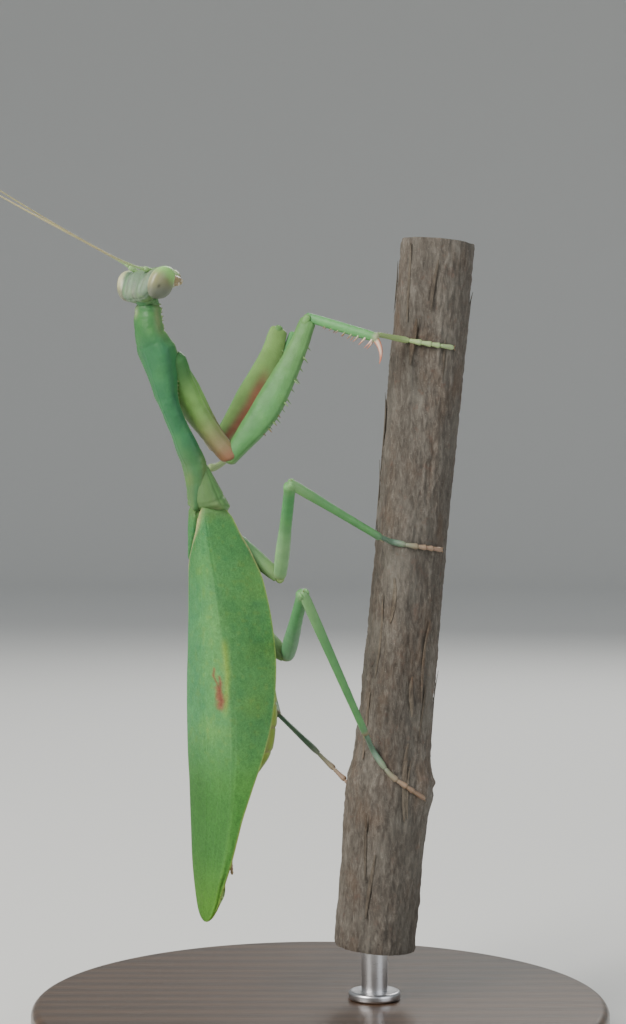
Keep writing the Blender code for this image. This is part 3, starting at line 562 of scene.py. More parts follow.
def pronotumRelief(share, turn, points):
    forward, lift = points[..., 2], np.sin(turn)
    top = ease(lift, 0.15, 0.5)
    keel = 0.06 * hump(np.cos(turn), 0, 0.07) * top * ease(forward, 1.0, 4.0) * (1 - ease(forward, 17, 19))
    sulcus = -0.05 * hump(forward, 18.75 + 0.35 * np.cos(2 * turn), 0.2) * top
    dents = -0.05 * hump(forward, 17.2, 0.7) * hump(np.abs(np.cos(turn)), 0.45, 0.2) * top
    # the shield wraps down each side to a thin margin over the softer flank
    ledge = (0.12 + 0.1 * hump(forward, 18.0, 2.5)) * hump(lift, -0.6, 0.2) * ease(forward, 0.8, 3.0)
    tuck = -0.08 * hump(lift, -0.88, 0.14) * ease(forward, 3.5, 6.0)
    plates = -0.04 * hump(lift, -0.95, 0.04)
    collar = 0.06 * hump(forward, 22.9, 0.35) - 0.05 * hump(forward, 22.3, 0.3)
    grain = 0.018 * wobble(points, 0.28, 3) + 0.045 * wobble(points, 1.1, 4) + 0.05 * wobble(points, 2.6, 14)
    return keel + sulcus + dents + ledge + tuck + plates + collar + grain


def pronotumPaint(share, turn, points):
    forward, lift, face = points[..., 2], np.sin(turn), np.cos(turn)
    main, dark, edge = paintOf("pronotum", "pronotumShade", "edge")
    prozone, rear, under = paintOf("prozone", "rear", "under")
    # where the painted shade falls, on the right side of the shield
    patch = hump(lift, 0.15 - 0.5 * ease(-forward, -15, -9), 0.34) * ease(face, 0.2, 0.6)
    return coated(
        rear, (main, ease(forward, 3.0, 9.0)), (prozone, ease(forward, 17.5, 20.5)),
        (prozone, 0.7 * ease(-face, 0.0, 0.8)),
        # painted shade: the right side of the shield is darkened along its middle and at its rear
        (dark, 0.75 * patch * ease(forward, 5, 8) * (1 - ease(forward, 18.0, 20.5))),
        ((0.04, 0.15, 0.045), 0.75 * hump(face, 0.7, 0.33) * (1 - ease(forward, 6, 9))),
        (rear * [1.6, 1.25, 1.1], 0.6 * ease(-lift, -0.35, 0.1) * ease(-forward, -8, -4)),
        (edge, 0.5 * hump(lift, -0.62, 0.12)), (under, ease(-lift, 0.72, 0.9)),
        (edge, 0.35 * hump(forward, 23.3, 0.3)),
        ((0.03, 0.14, 0.06), 0.7 * ease(forward, 22.7, 23.4) * hump(face, 0.7, 0.3) * ease(lift, 0.1, 0.5)),
        # painted highlight on the left front corner of the shield
        ((0.33, 0.36, 0.2), 0.7 * hump(face, -0.35, 0.3) * hump(forward, 22.6, 0.8)),
        ((0.2, 0.24, 0.1), 0.7 * hump(lift, -0.15, 0.35) * ease(face, 0.2, 0.6) * hump(forward, 21.8, 1.8)),
        ((0.15, 0.24, 0.07), 0.6 * ease(-face, 0.3, 0.9) * (1 - ease(forward, 6, 10))),
        ([1.35, 1.12, 0.95], 0.55 * ease(wobble(points, 1.5, 18), 0.0, 0.7)),
        ([0.72, 0.82, 0.9], mottle(points, 0.9, 8)))


def pterothoraxRelief(share, turn, points):
    forward, lift = points[..., 2], np.sin(turn)
    plates = sum(-0.09 * hump(forward + 0.8 * np.sin(turn + lean), place, 0.16)
                 for place, lean in ((1.6, 0.4), (-2.4, 0.7), (-6.2, 0.5), (-10.4, 0.8)))
    flank = -0.08 * hump(lift, -0.15, 0.07) - 0.07 * hump(np.cos(turn), 0, 0.06) * ease(-lift, 0.2, 0.6)
    return plates + flank + 0.05 * wobble(points, 1.4, 5) + 0.012 * wobble(points, 0.3, 6)


def pterothoraxPaint(share, turn, points):
    forward, lift = points[..., 2], np.sin(turn)
    meso, pleuron, under, membrane = paintOf("meso", "pleuron", "under", "membrane")
    return coated(
        under, (meso, ease(lift, -0.3, 0.4)),
        (pleuron, 0.75 * hump(lift, 0.1, 0.35) * ease(-forward, -2.0, 1.0) * ease(forward, -9.0, -5.0)),
        (membrane, 0.5 * ease(-lift, 0.5, 0.9)), ([0.78], mottle(points, 1.1, 9)))


segments = {"first": -16.5, "length": 2.75, "step": 0.1}


def abdomenParts(points):
    # how far along the segments, and how far along its own segment
    along = (segments["first"] - points[..., 2]) / segments["length"]
    return along, along - np.floor(along)


def abdomenRelief(share, turn, points):
    along, part = abdomenParts(points)
    shingle = segments["step"] * (part - 0.5) - 0.09 * hump(part, 1.0, 0.07) - 0.09 * hump(part, 0.0, 0.07)
    flank = -0.12 * hump(np.sin(turn), 0.08, 0.09)
    return shingle * ease(along, -0.3, 0.4) + flank + 0.05 * wobble(points, 1.5, 11)


def abdomenPaint(share, turn, points):
    part, lift = abdomenParts(points)[1], np.sin(turn)
    main, membrane, under = paintOf("abdomen", "membrane", "under")
    return coated(
        main, (membrane, 0.75 * (hump(part, 1.0, 0.12) + hump(part, 0.0, 0.06))),
        (under, 0.6 * ease(-lift, 0.2, 0.8)), (membrane, 0.5 * hump(lift, 0.08, 0.12)),
        ([0.8], mottle(points, 0.8, 12)))


skin = Shell()
trunkSweep("prothorax", 420, 128, pronotumPaint, pronotumRelief, (0.03, 0.02), 2.15, None)
trunkSweep("pterothorax", 180, 112, pterothoraxPaint, pterothoraxRelief, (0.03, 0.05))
trunkSweep("abdomen", 260, 112, abdomenPaint, abdomenRelief, (0.04, 0.05))
print("trunk made")

headShape = {"centre": np.array([-5.5, -4.8, 25.5]), "turn": math.radians(43.0), "roll": math.radians(0.5),
             "lean": 0.42, "flare": 0.06, "half": 2.75, "square": 2.9,
             # distance from the midline: vertex, chin, depth of the face, depth of the back
             "outline": [(0.0, 1.78, -3.3, 1.9, 2.15), (0.6, 1.84, -3.25, 1.9, 2.15),
                         (1.0, 1.88, -2.8, 1.85, 2.1), (1.5, 1.86, -2.0, 1.7, 1.95),
                         (2.0, 1.7, -1.4, 1.4, 1.6), (2.5, 1.3, -1.0, 1.0, 1.2), (2.8, 0.9, -0.7, 0.6, 0.7)]}
headLevel = np.array([math.cos(headShape["turn"]), -math.sin(headShape["turn"]), 0.0])
headTop = np.array([-math.sin(headShape["turn"]), -math.cos(headShape["turn"]), 0.0])
headSide = headLevel * math.cos(headShape["roll"]) + forwardAxis * math.sin(headShape["roll"])
headFace = forwardAxis * math.cos(headShape["roll"]) - headLevel * math.sin(headShape["roll"])


def headPoint(side, top, face):
    # side to its right, top towards the vertex, face forwards; the profile leans back towards the vertex
    side, top, face = np.broadcast_arrays(np.asarray(side, float), top, face)
    side = side * (1 + headShape["flare"] * face)
    leant = top - headShape["lean"] * face
    return (headShape["centre"] + side[..., None] * headSide + leant[..., None] * headTop
            + face[..., None] * headFace)


def headRelief(across, top, face, front, back):
    # furrows of the vertex, the raised plates of the face, the brow over the feelers
    lift = 0.012 * wobble(stacked(across, top, face), 0.25, 2)
    bent = across + 0.16 * wobble(stacked(across * 0.5, top, face), 0.8, 57) + 0.06 * face
    for place, width, rise, low, high in ((0.5, 0.16, -0.035, 0.3, 1.0), (1.25, 0.17, -0.055, -0.6, 0.6),
                                          (0.85, 0.25, 0.03, 0.2, 1.2)):
        lift += rise * (hump(bent, place, width) + hump(bent, -place, width)) * ease(top, low, high)
    brow = hump(across, 1.05, 0.3) + hump(across, -1.05, 0.3)
    lift += 0.12 * brow * hump(top, 0.35, 0.35) * front
    shield = ease(1.0 - np.abs(across), 0.0, 0.18) * ease(top, -1.55, -1.4) * ease(-top, 0.1, 0.25)
    clypeus = ease(0.95 - np.abs(across), 0.0, 0.2) * ease(top, -2.45, -2.3) * ease(-top, 1.7, 1.85)
    labrum = ease(0.75 - np.abs(across), 0.0, 0.25) * ease(-top, 2.6, 2.75)
    lift += front * (0.14 * shield + 0.12 * clypeus + 0.12 * labrum)
    lift += 0.1 * hump(across, 0, 0.4) * hump(top, 0.95, 0.35) * front
    return lift - back * (0.06 * hump(across, 0, 0.07) * ease(top, -0.5, 0.8) + 0.07 * hump(top, 1.15, 0.12))


def headPaint(across, top, face, crown, back):
    vertex, lilac, cheek, cream = paintOf("vertex", "lilac", "face", "cream")
    spots = stacked(across, top, face)
    bendy = across + 0.16 * wobble(spots, 0.6, 51) + 0.07 * wobble(spots, 0.25, 52) + 0.12 * face
    patch = 0.6 + 0.4 * wobble(spots, 0.55, 53)
    furrows = [(lilac * 0.75, 0.35 * hump(bendy, place, 0.11) * ease(top, 0.2, 1.0) * patch)
               for place in (-1.25, -0.5, 0.5, 1.25)]
    leafy = [((0.18, 0.31, 0.17), 0.6 * hump(bendy, place, 0.2) * crown * patch) for place in (-0.62, 0.9)]
    return coated(
        cheek, (vertex, ease(top, 0.0, 1.1)),
        # painted shade over the lower head, apart from the face
        ((0.12, 0.16, 0.08), 0.9 * ease(-top, -0.3, 0.6) * ease(-face, -1.2, -0.2)),
        (lilac, 0.8 * hump(bendy, -0.15, 0.35) * crown * ease(-face, -0.9, 0.6) * patch),
        (lilac * [0.85, 1.05, 1.0], 0.5 * hump(bendy, -1.0, 0.25) * crown * patch), *furrows, *leafy,
        (cream, 0.15 * hump(across, 1.5, 0.18) * ease(top, 0.0, 1.0) * ease(face, -1.2, 0.6)),
        (vertex * [0.8, 0.95, 0.8], 0.6 * ease(-across, 1.3, 1.6) * crown),
        (cheek * [0.9, 1, 1], 0.6 * ease(face, 1.2, 1.8) * ease(top, 0.3, 1.2)),
        ((0.27, 0.24, 0.12), 0.8 * ease(-top, 1.9, 2.9)),
        ((0.1, 0.17, 0.09), 0.8 * back * ease(-top, -0.9, 0.4)),
        ([0.78], 0.6 * crown * ease(-face, 0.2, 1.6)), ([0.82], mottle(spots, 0.5, 19)))


def makeHead(count=150):
    side = np.linspace(-headShape["half"], headShape["half"], count)
    turn = fullTurn(count)
    high, low, deepFace, deepBack = smoothTable(headShape["outline"], np.abs(side)).T[:, :, None]
    power = headShape["square"]
    reach = (np.abs(np.cos(turn)) ** power + np.abs(np.sin(turn)) ** power) ** (-1 / power)
    half, depth = (high - low) / 2, np.where(np.sin(turn) > 0, deepFace, deepBack)
    top, face = (high + low) / 2 + half * np.cos(turn) * reach, depth * np.sin(turn) * reach
    chin = ease(-top, 0.0, 2.6)
    face = face * (1 - 0.58 * chin) + 0.8 * chin
    across = np.broadcast_to(side[:, None], top.shape)
    front, back, crown = ease(np.sin(turn), 0.2, 0.7), ease(-np.sin(turn), 0.2, 0.7), ease(top, 0.9, 1.7)
    lift = headRelief(across, top, face, front, back)
    outTop = np.cos(turn) * reach / np.maximum(half, 0.3)
    outFace = np.sin(turn) * reach / np.maximum(depth, 0.3)
    size = np.hypot(outTop, outFace)
    top, face = top + lift * outTop / size, face + lift * outFace / size
    skin.grid(headPoint(across, top, face), headPaint(across, top, face, crown, back))


def makeNeck(rows=60):
    path = smoothPath([body(22.6, 0, 6.95), body(23.7, 0, 7.0), headPoint(0, 0.1, -1.2),
                       headPoint(0, 0.0, 0.1)], rows)
    side, up = tubeFrames(path, dorsalAxis)
    share = np.linspace(0, 1, rows)
    width = 1.3 - 0.06 * np.sin(share * 3) + 0.03 * np.sin(share * 40)
    tone, pale = paintOf("neck", "edge")
    sweep(skin, path, side, up, width, width * 0.9, width * 0.9, 64,
          lambda s, t, p: blend(tone, pale, 0.3 * ease(np.abs(np.cos(t)), 0.75, 0.98)), ends=(0.0, 0.0))


makeHead()
makeNeck()

eyeShape = {"out": 2.58, "radii": (1.02, 1.58, 1.84), "splay": math.radians(1.0), "square": 2.5, "lean": 0.2,
            "simple": ((0, 1.25), (-0.32, 0.85), (0.32, 0.85)), "simpleRadius": 0.16,
            "olive": np.array([0.17, 0.17, 0.08]), "leaf": (0.26, 0.53, 0.15), "paintedShade": (0.105, 0.12, 0.095),
            "spot": (0.035, 0.03, 0.015), "amber": (0.3, 0.2, 0.06)}


def eyePaint(hand, u, v, w):
    olive, cream = eyeShape["olive"], np.array(tones["cream"]) * 0.95
    rim, wide = (-0.5, 0.36) if hand > 0 else (0.1, 0.6)
    shown = 0.15 + 0.85 * ease(w, -0.4, 0.35)
    spot = (u - 0.78) ** 2 * 30 + (v - 0.54) ** 2 * 60 + (w + 0.27) ** 2 * 60
    return coated(
        olive, (olive * 1.35, ease(v, -0.2, 0.9)),
        (eyeShape["leaf"], ease(w - v * 0.45 + 0.06 * wobble(stacked(u, v, w), 0.3, 54), -0.15, 0.7)),
        # painted shade over the back of the eye
        (eyeShape["paintedShade"], 0.85 * ease(-w, -0.1, 0.65)),
        (cream * 1.1, 0.9 * hump(u - rim, 0, wide) * ease(v, -0.3, 0.3) * shown),
        (tones["vertex"], ease(rim - u, wide * 0.5, wide)), (eyeShape["spot"], 0.9 * np.exp(-spot * 1.6)))


def makeEyes(count=110):
    eyes = Shell()
    polar = np.linspace(0.02, math.pi - 0.02, count)[:, None]
    turn = fullTurn(count)
    u, v, w = np.broadcast_arrays(np.cos(polar), np.sin(polar) * np.cos(turn), np.sin(polar) * np.sin(turn))
    # a full oval, a little flatter behind and drawn down towards the cheek
    bulge = 1 + 0.05 * ease(v, 0.2, 1) + 0.1 * ease(-v, 0.1, 0.9) * ease(-w, -0.2, 0.8)
    # squarer than an oval, so the eye fills its corner of the head
    power = eyeShape["square"]
    square = (np.abs(u) ** power + np.abs(v) ** power + np.abs(w) ** power) ** (-1 / power)
    bulge = bulge * (1 + 0.5 * (square - 1))
    x, y, z = [radius * way * bulge for radius, way in zip(eyeShape["radii"], (u, v, w))]
    rise, level = math.sin(eyeShape["splay"]), math.cos(eyeShape["splay"])
    side, top = eyeShape["out"] + x * level - y * rise, 0.2 + x * rise + y * level + eyeShape["lean"] * z
    for hand in (-1, 1):
        eyes.grid(headPoint(hand * side, top, 0.05 + z), eyePaint(hand, u, v, w))
    ring = np.cos(turn)[:, None] * headSide + np.sin(turn)[:, None] * headTop
    bend = np.linspace(0.05, 2.6, 14)[:, None, None]
    bead = eyeShape["simpleRadius"] * (np.sin(bend) * ring + np.cos(bend) * headFace)
    for side, top in eyeShape["simple"]:    # the three simple eyes on the brow
        eyes.grid(headPoint(side, top, 1.8) + bead, np.array(eyeShape["amber"]))
    eyes.make("eyes", eyeGloss, "eye", ("eye_left", "eye_right"))


makeEyes()
print("head made")

feelers = {"length": 26.0, "out": 1.05, "start": (0.95, 1.5), "radius": 0.15, "tipRadius": 0.06, "ring": 0.42,
           "rows": 620, "steps": 12, "tan": (0.42, 0.36, 0.2), "leaf": (0.26, 0.42, 0.18),
           "ways": {-1: (196.0, 24.6, 6.0), 1: (222.0, 19.6, -13.0)}}


def feelerRadius(share):
    # fine beads, after two thicker joints at the root
    run = share * feelers["length"]
    beads = (run / feelers["ring"]) % 1
    radius = feelers["radius"] + (feelers["tipRadius"] - feelers["radius"]) * share ** 0.8
    radius = radius * (1 + 0.14 * ease(beads, 0.3, 0.9) - 0.2 * hump(beads, 0.0, 0.08)
                       - 0.2 * hump(beads, 1.0, 0.08))
    radius = np.where(run < 1.25, 0.24 + 0.07 * hump(run, 0.75, 0.35) - 0.12 * hump(run, 1.2, 0.08), radius)
    return np.where((run >= 1.25) & (run < 1.75), 0.19 - 0.05 * ease(run, 1.3, 1.75), radius)


def makeFeelers():
    shell, steps = Shell(), feelers["steps"]
    for hand, (turn, pitch, lift) in feelers["ways"].items():
        spots = [headPoint(feelers["out"] * hand, *feelers["start"])]
        for share in np.arange(steps) / (steps - 1):
            ahead = heading(turn, pitch + lift * (1 - share) ** 8 + 4.0 * share)
            spots.append(spots[-1] + ahead * feelers["length"] / steps)
        path = smoothPath(spots, feelers["rows"])
        side, up = tubeFrames(path, headFace)
        radius = feelerRadius(np.linspace(0, 1, feelers["rows"]))
        sweep(shell, path, side, up, radius, radius, radius, 14,
              lambda s, t, p: blend(feelers["leaf"], feelers["tan"], ease(s, 0.03, 0.25)), ends=(0.0, 0.004))
    shell.make("feelers", cuticle, "tan_cuticle", ("antenna_left", "antenna_right"))


makeFeelers()

mouthTones = {"tan": (0.27, 0.2, 0.1), "pale": (0.5, 0.46, 0.34), "dark": (0.1, 0.045, 0.025),
              "leaf": (0.3, 0.42, 0.2)}


def makeMouth():
    shell = Shell()
    tan, pale, dark, leaf = mouthTones.values()

    def tube(spots, radii, count, cols, paint, rings=0):
        bentTube(shell, [headPoint(*spot) for spot in spots], radii, count, cols, paint,
                 (lambda s, t, p: -0.03 * hump(np.sin(s * rings), 0, 0.15)) if rings else None)

    for hand in (-1, 1):    # jaw, then the outer and inner feelers of the mouth
        tube([(0.9 * hand, -2.2, 0.75), (0.85 * hand, -3.2, 0.8), (0.5 * hand, -4.0, 0.85),
              (0.12 * hand, -4.35, 0.85)], (0.4, 0.5, 0.45, 0.15), 40, 24,
             lambda s, t, p: blend(tan, dark, ease(s, 0.55, 0.95)))
        tube([(0.7 * hand, -3.1, 0.4), (0.95 * hand, -3.6, 0.35), (0.9 * hand, -4.1, 0.55),
              (0.6 * hand, -4.35, 0.9)], (0.28, 0.27, 0.25, 0.22), 60, 16,
             lambda s, t, p: blend(tan, pale, ease(np.sin(s * 22), 0.2, 0.9)), 11)
        tube([(0.35 * hand, -3.4, 0.4), (0.5 * hand, -3.85, 0.35), (0.4 * hand, -4.2, 0.6)],
             (0.22, 0.2, 0.18), 40, 14, np.array(tan), 9)
    # upper lip over the jaws, lower lip behind them
    tube([(0, -2.9, 1.2), (0, -3.7, 1.35), (0, -4.4, 1.15)], (0.7, 0.74, 0.4), 40, 28,
         lambda s, t, p: blend(leaf, tan, ease(s, 0.55, 0.95)))
    tube([(0, -2.7, 0.35), (0, -3.7, 0.45), (0, -4.3, 0.7)], (0.48, 0.5, 0.32), 40, 28,
         lambda s, t, p: blend(leaf, tan, ease(s, 0.3, 0.9)))
    shell.make("mouthparts_detail", horn, "tan_cuticle", ("mouthparts",))


makeMouth()

caneShape = {"axis": (24.75, 1.0), "lean": math.radians(5.15), "low": -50.0, "high": 31.0,
             "radii": [(-50.0, 4.6), (-41.0, 4.6), (-34.0, 4.75), (-31.5, 4.8), (-27.5, 4.3),
                       (-20.0, 4.15), (-4.0, 4.05), (8.0, 4.1), (20.0, 4.25), (31.0, 4.2)],
             "rows": 360, "cols": 240, "strips": 34}
caneUp = np.array([math.sin(caneShape["lean"]), 0, math.cos(caneShape["lean"])])
caneSides = unit(np.cross(caneUp, [0, 1, 0])), np.array([0.0, 1.0, 0.0])


def caneCentre(height):
    height = np.asarray(height, float)
    return stacked(caneShape["axis"][0] + height * math.tan(caneShape["lean"]), caneShape["axis"][1], height)


def onCane(angle, height, clearance):
    reach = smoothTable(caneShape["radii"], height)[..., 0] + clearance
    turn = math.radians(angle)
    return caneCentre(height) + np.array([reach * math.cos(turn), reach * math.sin(turn), 0])


def barkRelief(h, a, spread):
    thread = stacked(np.cos(a) * 4.3, np.sin(a) * 4.3, h * 0.12)
    bent = spread + 0.35 * np.stack([wobble(spread, 1.1, seed) for seed in (28, 29, 30)], -1)
    ridges = 1 - np.abs(wobble(bent, 0.9, 21))
    relief = 0.16 * (ridges - 0.6) + 0.08 * wobble(thread, 0.36, 22)
    relief += 0.07 * wobble(bent * [1, 1, 2.2], 0.42, 23)
    relief += 0.06 * wobble(bent * [1, 1, 3], 0.25, 24) + 0.1 * wobble(spread, 2.2, 31)
    relief += 0.07 * np.sin(3 * a + h * 0.11) + 0.05 * np.sin(5 * a - h * 0.07)
    # a swollen knot with its bud scar, low on the insect's side
    knot = hump(h, -31.3, 2.2) * hump(np.cos(a - math.radians(188)), 1, 0.5)
    relief += knot * (0.35 + 0.14 * wobble(spread * [1, 1, 6], 0.9, 25) - 0.12 * hump(h, -31.4, 0.8))
    return relief + 0.1 * hump(h, -30.6 + 0.5 * np.sin(a * 2), 0.5)


def sawnEnd(shell, rim, tone, sign):
    # bark, pale wood with its rings, a dark pith
    centre = rim.mean(0)
    rings, colours = [rim], [tone]
    for mark in (0.94, 0.9, 0.88, 0.8, 0.7, 0.6, 0.5, 0.4, 0.3, 0.22, 0.15, 0.12, 0.05):
        pith = mark < 0.14
        ring = centre + (rim - centre) * mark
        ring = ring + caneUp * sign * (0.06 * math.sin(mark * 40) - (0.35 if pith else 0))
        rings.append(ring + caneUp * (0.05 * wobble(ring, 0.5, 27)[:, None]))
        woodTone = np.array([1.9, 1.6, 1.15]) * (0.72 + 0.22 * math.sin(mark * 34))
        woodTone = woodTone * (0.35 if mark > 0.89 else 1) * (0.3 if pith else 1)
        colours.append(np.tile(np.clip(woodTone, 0, 1), (len(rim), 1)))
    shell.grid(np.array(rings), np.array(colours), (False, True))


def barkStrip(shell, chance):
    # a loose strip, lifting towards its ends
    where, at = chance.uniform(0, 360), chance.uniform(-46, 26)
    length, width = chance.uniform(3.5, 11), chance.uniform(0.25, 0.7)
    peel = chance.uniform(0.25, 0.9)
    marks = np.linspace(0, 1, 26)
    spots = np.array([onCane(where + 3 * math.sin(mark * 3 + at), min(at + length * mark, 30.5),
                             0.12 + peel * max(0, abs(mark - 0.4) - 0.25) ** 1.5 * 2) for mark in marks])
    outs = unit(spots - caneCentre(spots[:, 2]))
    taper = np.sin(np.clip(marks, 0.03, 0.97) * math.pi) ** 0.5
    sweep(shell, spots, np.cross(outs, caneUp), outs, width * 0.5 * taper, 0.07 * taper, 0.07 * taper, 10,
          np.array([0.95, 0.88, 0.78]) * chance.uniform(0.6, 1.0), ends=(0.0, 0.0))


def makeCane():
    shell = Shell()
    height = np.linspace(caneShape["low"], caneShape["high"], caneShape["rows"])
    h, a = np.meshgrid(height, fullTurn(caneShape["cols"]), indexing="ij")
    spread = stacked(np.cos(a) * 4.3, np.sin(a) * 4.3, h * 0.22)
    relief = barkRelief(h, a, spread)
    rim = ease(np.minimum(h - caneShape["low"], caneShape["high"] - h), 0, 0.5)
    reach = (smoothTable(caneShape["radii"], height) + relief - 0.12 * (1 - rim))[..., None]
    side, other = caneSides
    out = np.cos(a)[..., None] * side + np.sin(a)[..., None] * other
    points = caneCentre(height)[:, None] + reach * out
    shade = np.clip(1 + 0.9 * (relief - relief.mean()) + 0.1 * wobble(spread, 2.6, 26), 0.55, 1.5)
    tone = shade[..., None] * [1, 0.985, 0.96] * 0.75
    shell.grid(points, tone, (False, False))
    for row, sign in ((0, -1), (-1, 1)):
        sawnEnd(shell, points[row], tone[row], sign)
    chance = np.random.default_rng(5)
    for _ in range(caneShape["strips"]):
        barkStrip(shell, chance)
    shell.make("cane", bark, "bark", ("perch_cane",), 180)


makeCane()
print("perch made")

legs = {
    # where each leaves the body, then length, heading and pitch of coxa, femur and tibia; the left fore leg
    # has its tibia set off from the femur, a straight coxa and a deeper, paler femur
    "fore_right": {"base": (18.0, 2.2, 5.7), "coxa": (14.4, 38, -54), "femur": (18.2, -12, 60),
                   "tibia": (9.0, -23, -17.2)},
    "fore_left": {"base": (17.6, -1.9, 5.4), "coxa": (14.2, 42, -44), "femur": (18.6, 54, 52),
                  "tibia": (8.6, 241, -56), "setOff": 2.0, "bow": 0.0, "deep": 1.16, "lobe": 0.0,
                  "palm": 0.16, "gain": (1.7, 1.55, 1.7)},
    "mid_right": {"base": (-3.2, 1.8, -3.9), "coxa": (6.8, 4, -40), "femur": (15.4, -83, 44),
                  "tibia": (12.9, 27, -28)},
    "mid_left": {"base": (-3.2, -1.8, -3.9), "coxa": (6.8, 76, -40), "femur": (15.4, 99, 33),
                 "tibia": (13.0, -62, -80)},
    "hind_right": {"base": (-12.5, 1.9, -4.8), "coxa": (6.8, 4, -39), "femur": (17.7, -83, 27),
                   "tibia": (20.0, 52, -55)},
    "hind_left": {"base": (-12.5, -1.9, -4.8), "coxa": (6.8, 76, -39), "femur": (17.9, 83, 4),
                  "tibia": (20.0, -80, -26)},
}
feetOnCane = {"fore_right": [(-128, 19.5), (-102, 19.1), (-78, 18.8), (-54, 18.6)],
              "mid_right": [(-120, -3.4), (-92, -3.8), (-62, -4.1), (-38, -4.3)],
              "hind_right": [(-118, -27.2), (-92, -29.6), (-68, -31.1), (-38, -32.6)],
              "hind_left": [(168, -31.0), (146, -32.3), (126, -33.0)]}
freeToes = {"mid_left": [(3.0, -80, -74), (3.0, -80, -68), (2.5, -80, -60)],
            "fore_left": [(4.4, 229, -72), (4.2, 212, -37), (4.2, 212, -35), (1.7, 212, -15)]}
limbShape = {
    # share of the length, half width, half depth, shift towards the under edge
    "coxa": {"fore": [(0, 0.6, 0.9, 0.1), (0.04, 0.95, 1.5, 0.05), (0.1, 1.2, 1.95, -0.2),
                      (0.3, 1.25, 2.0, -1.2), (0.5, 1.1, 1.72, -1.42), (0.75, 1.05, 1.32, -0.85),
                      (0.93, 1.05, 1.25, -0.2), (1, 0.98, 1.12, 0.1)],
             "mid": [(0, 0.75, 0.8, 0), (0.15, 0.95, 1.0, 0), (0.5, 0.85, 0.92, 0), (0.85, 0.74, 0.8, 0),
                     (1, 0.64, 0.7, 0)],
             "hind": [(0, 1.3, 1.35, 0), (0.15, 1.5, 1.6, 0), (0.55, 1.25, 1.32, 0), (0.88, 0.88, 0.94, 0),
                      (1, 0.7, 0.76, 0)]},
    "femur": {"fore": [(0, 0.75, 0.8, 0), (0.03, 0.78, 0.88, 0.05), (0.1, 0.85, 1.08, 0.22),
                       (0.25, 0.95, 1.5, 0.7), (0.42, 0.95, 1.72, 1.0), (0.62, 0.85, 1.48, 0.95),
                       (0.82, 0.74, 1.14, 0.7), (0.95, 0.7, 1.0, 0.3), (1, 0.64, 0.9, 0.2)],
              "mid": [(0, 0.56, 0.6, 0), (0.06, 0.72, 0.76, 0), (0.25, 0.76, 0.82, 0), (0.6, 0.62, 0.68, 0),
                      (0.9, 0.58, 0.64, 0), (0.96, 0.66, 0.74, 0), (1, 0.62, 0.7, 0)],
              "hind": [(0, 0.56, 0.6, 0), (0.05, 0.74, 0.78, 0), (0.2, 0.8, 0.88, 0), (0.6, 0.64, 0.7, 0),
                       (0.91, 0.58, 0.64, 0), (0.96, 0.66, 0.74, 0), (1, 0.62, 0.7, 0)]},
    "tibia": {"fore": [(0, 0.42, 0.5, 0), (0.15, 0.46, 0.55, 0), (0.6, 0.45, 0.57, 0), (0.92, 0.44, 0.55, 0),
                       (1, 0.42, 0.5, 0)],
              "mid": [(0, 0.46, 0.48, 0), (0.1, 0.54, 0.58, 0), (0.5, 0.44, 0.46, 0), (0.92, 0.4, 0.42, 0),
                      (1, 0.44, 0.44, 0)],
              "hind": [(0, 0.46, 0.48, 0), (0.08, 0.56, 0.6, 0), (0.5, 0.48, 0.5, 0), (0.95, 0.4, 0.42, 0),
                       (1, 0.44, 0.44, 0)]}}
spines = Shell()


class Leg:
    # the joints and directions of one leg, read from its plan
    def __init__(self, name):
        plan = self.plan = legs[name]
        self.name, self.kind = name, name.split("_")[0]
        self.fore, self.hand = self.kind == "fore", 1 if name.endswith("right") else -1
        self.coxaWay = heading(*plan["coxa"][1:])
        self.femurWay = heading(*plan["femur"][1:])
        self.tibiaWay = heading(*plan["tibia"][1:])
        self.hip = body(*plan["base"])
        self.elbow = self.hip + self.coxaWay * plan["coxa"][0]
        self.knee = self.elbow + self.femurWay * plan["femur"][0]
        self.blade = unit(self.tibiaWay - self.femurWay * np.dot(self.tibiaWay, self.femurWay))
        self.side = np.cross(self.femurWay, self.blade)
        self.bend = self.knee + self.blade * plan.get("setOff", 0)
        self.ankle = self.bend + self.tibiaWay * plan["tibia"][0]
        self.back = -unit(self.femurWay - self.tibiaWay * np.dot(self.femurWay, self.tibiaWay))
        self.outer = np.sign(np.dot(self.side, rightAxis) * self.hand) or 1


def limb(leg, part, start, end, count, cols, paint, relief, ends=(0.03, 0.03), square=2.0, bow=1.0, deep=1.0):
    along = unit(end - start)
    up = unit(leg.blade - along * np.dot(leg.blade, along))
    share = np.linspace(0, 1, count)
    width, depth, shift = smoothTable(limbShape[part][leg.kind], share).T
    centres = start + (end - start) * share[:, None] + up * (shift[:, None] * bow)
    depth = depth * deep
    sweep(skin, centres, np.cross(along, up), up, width, depth, depth, cols, paint, square, relief, ends)


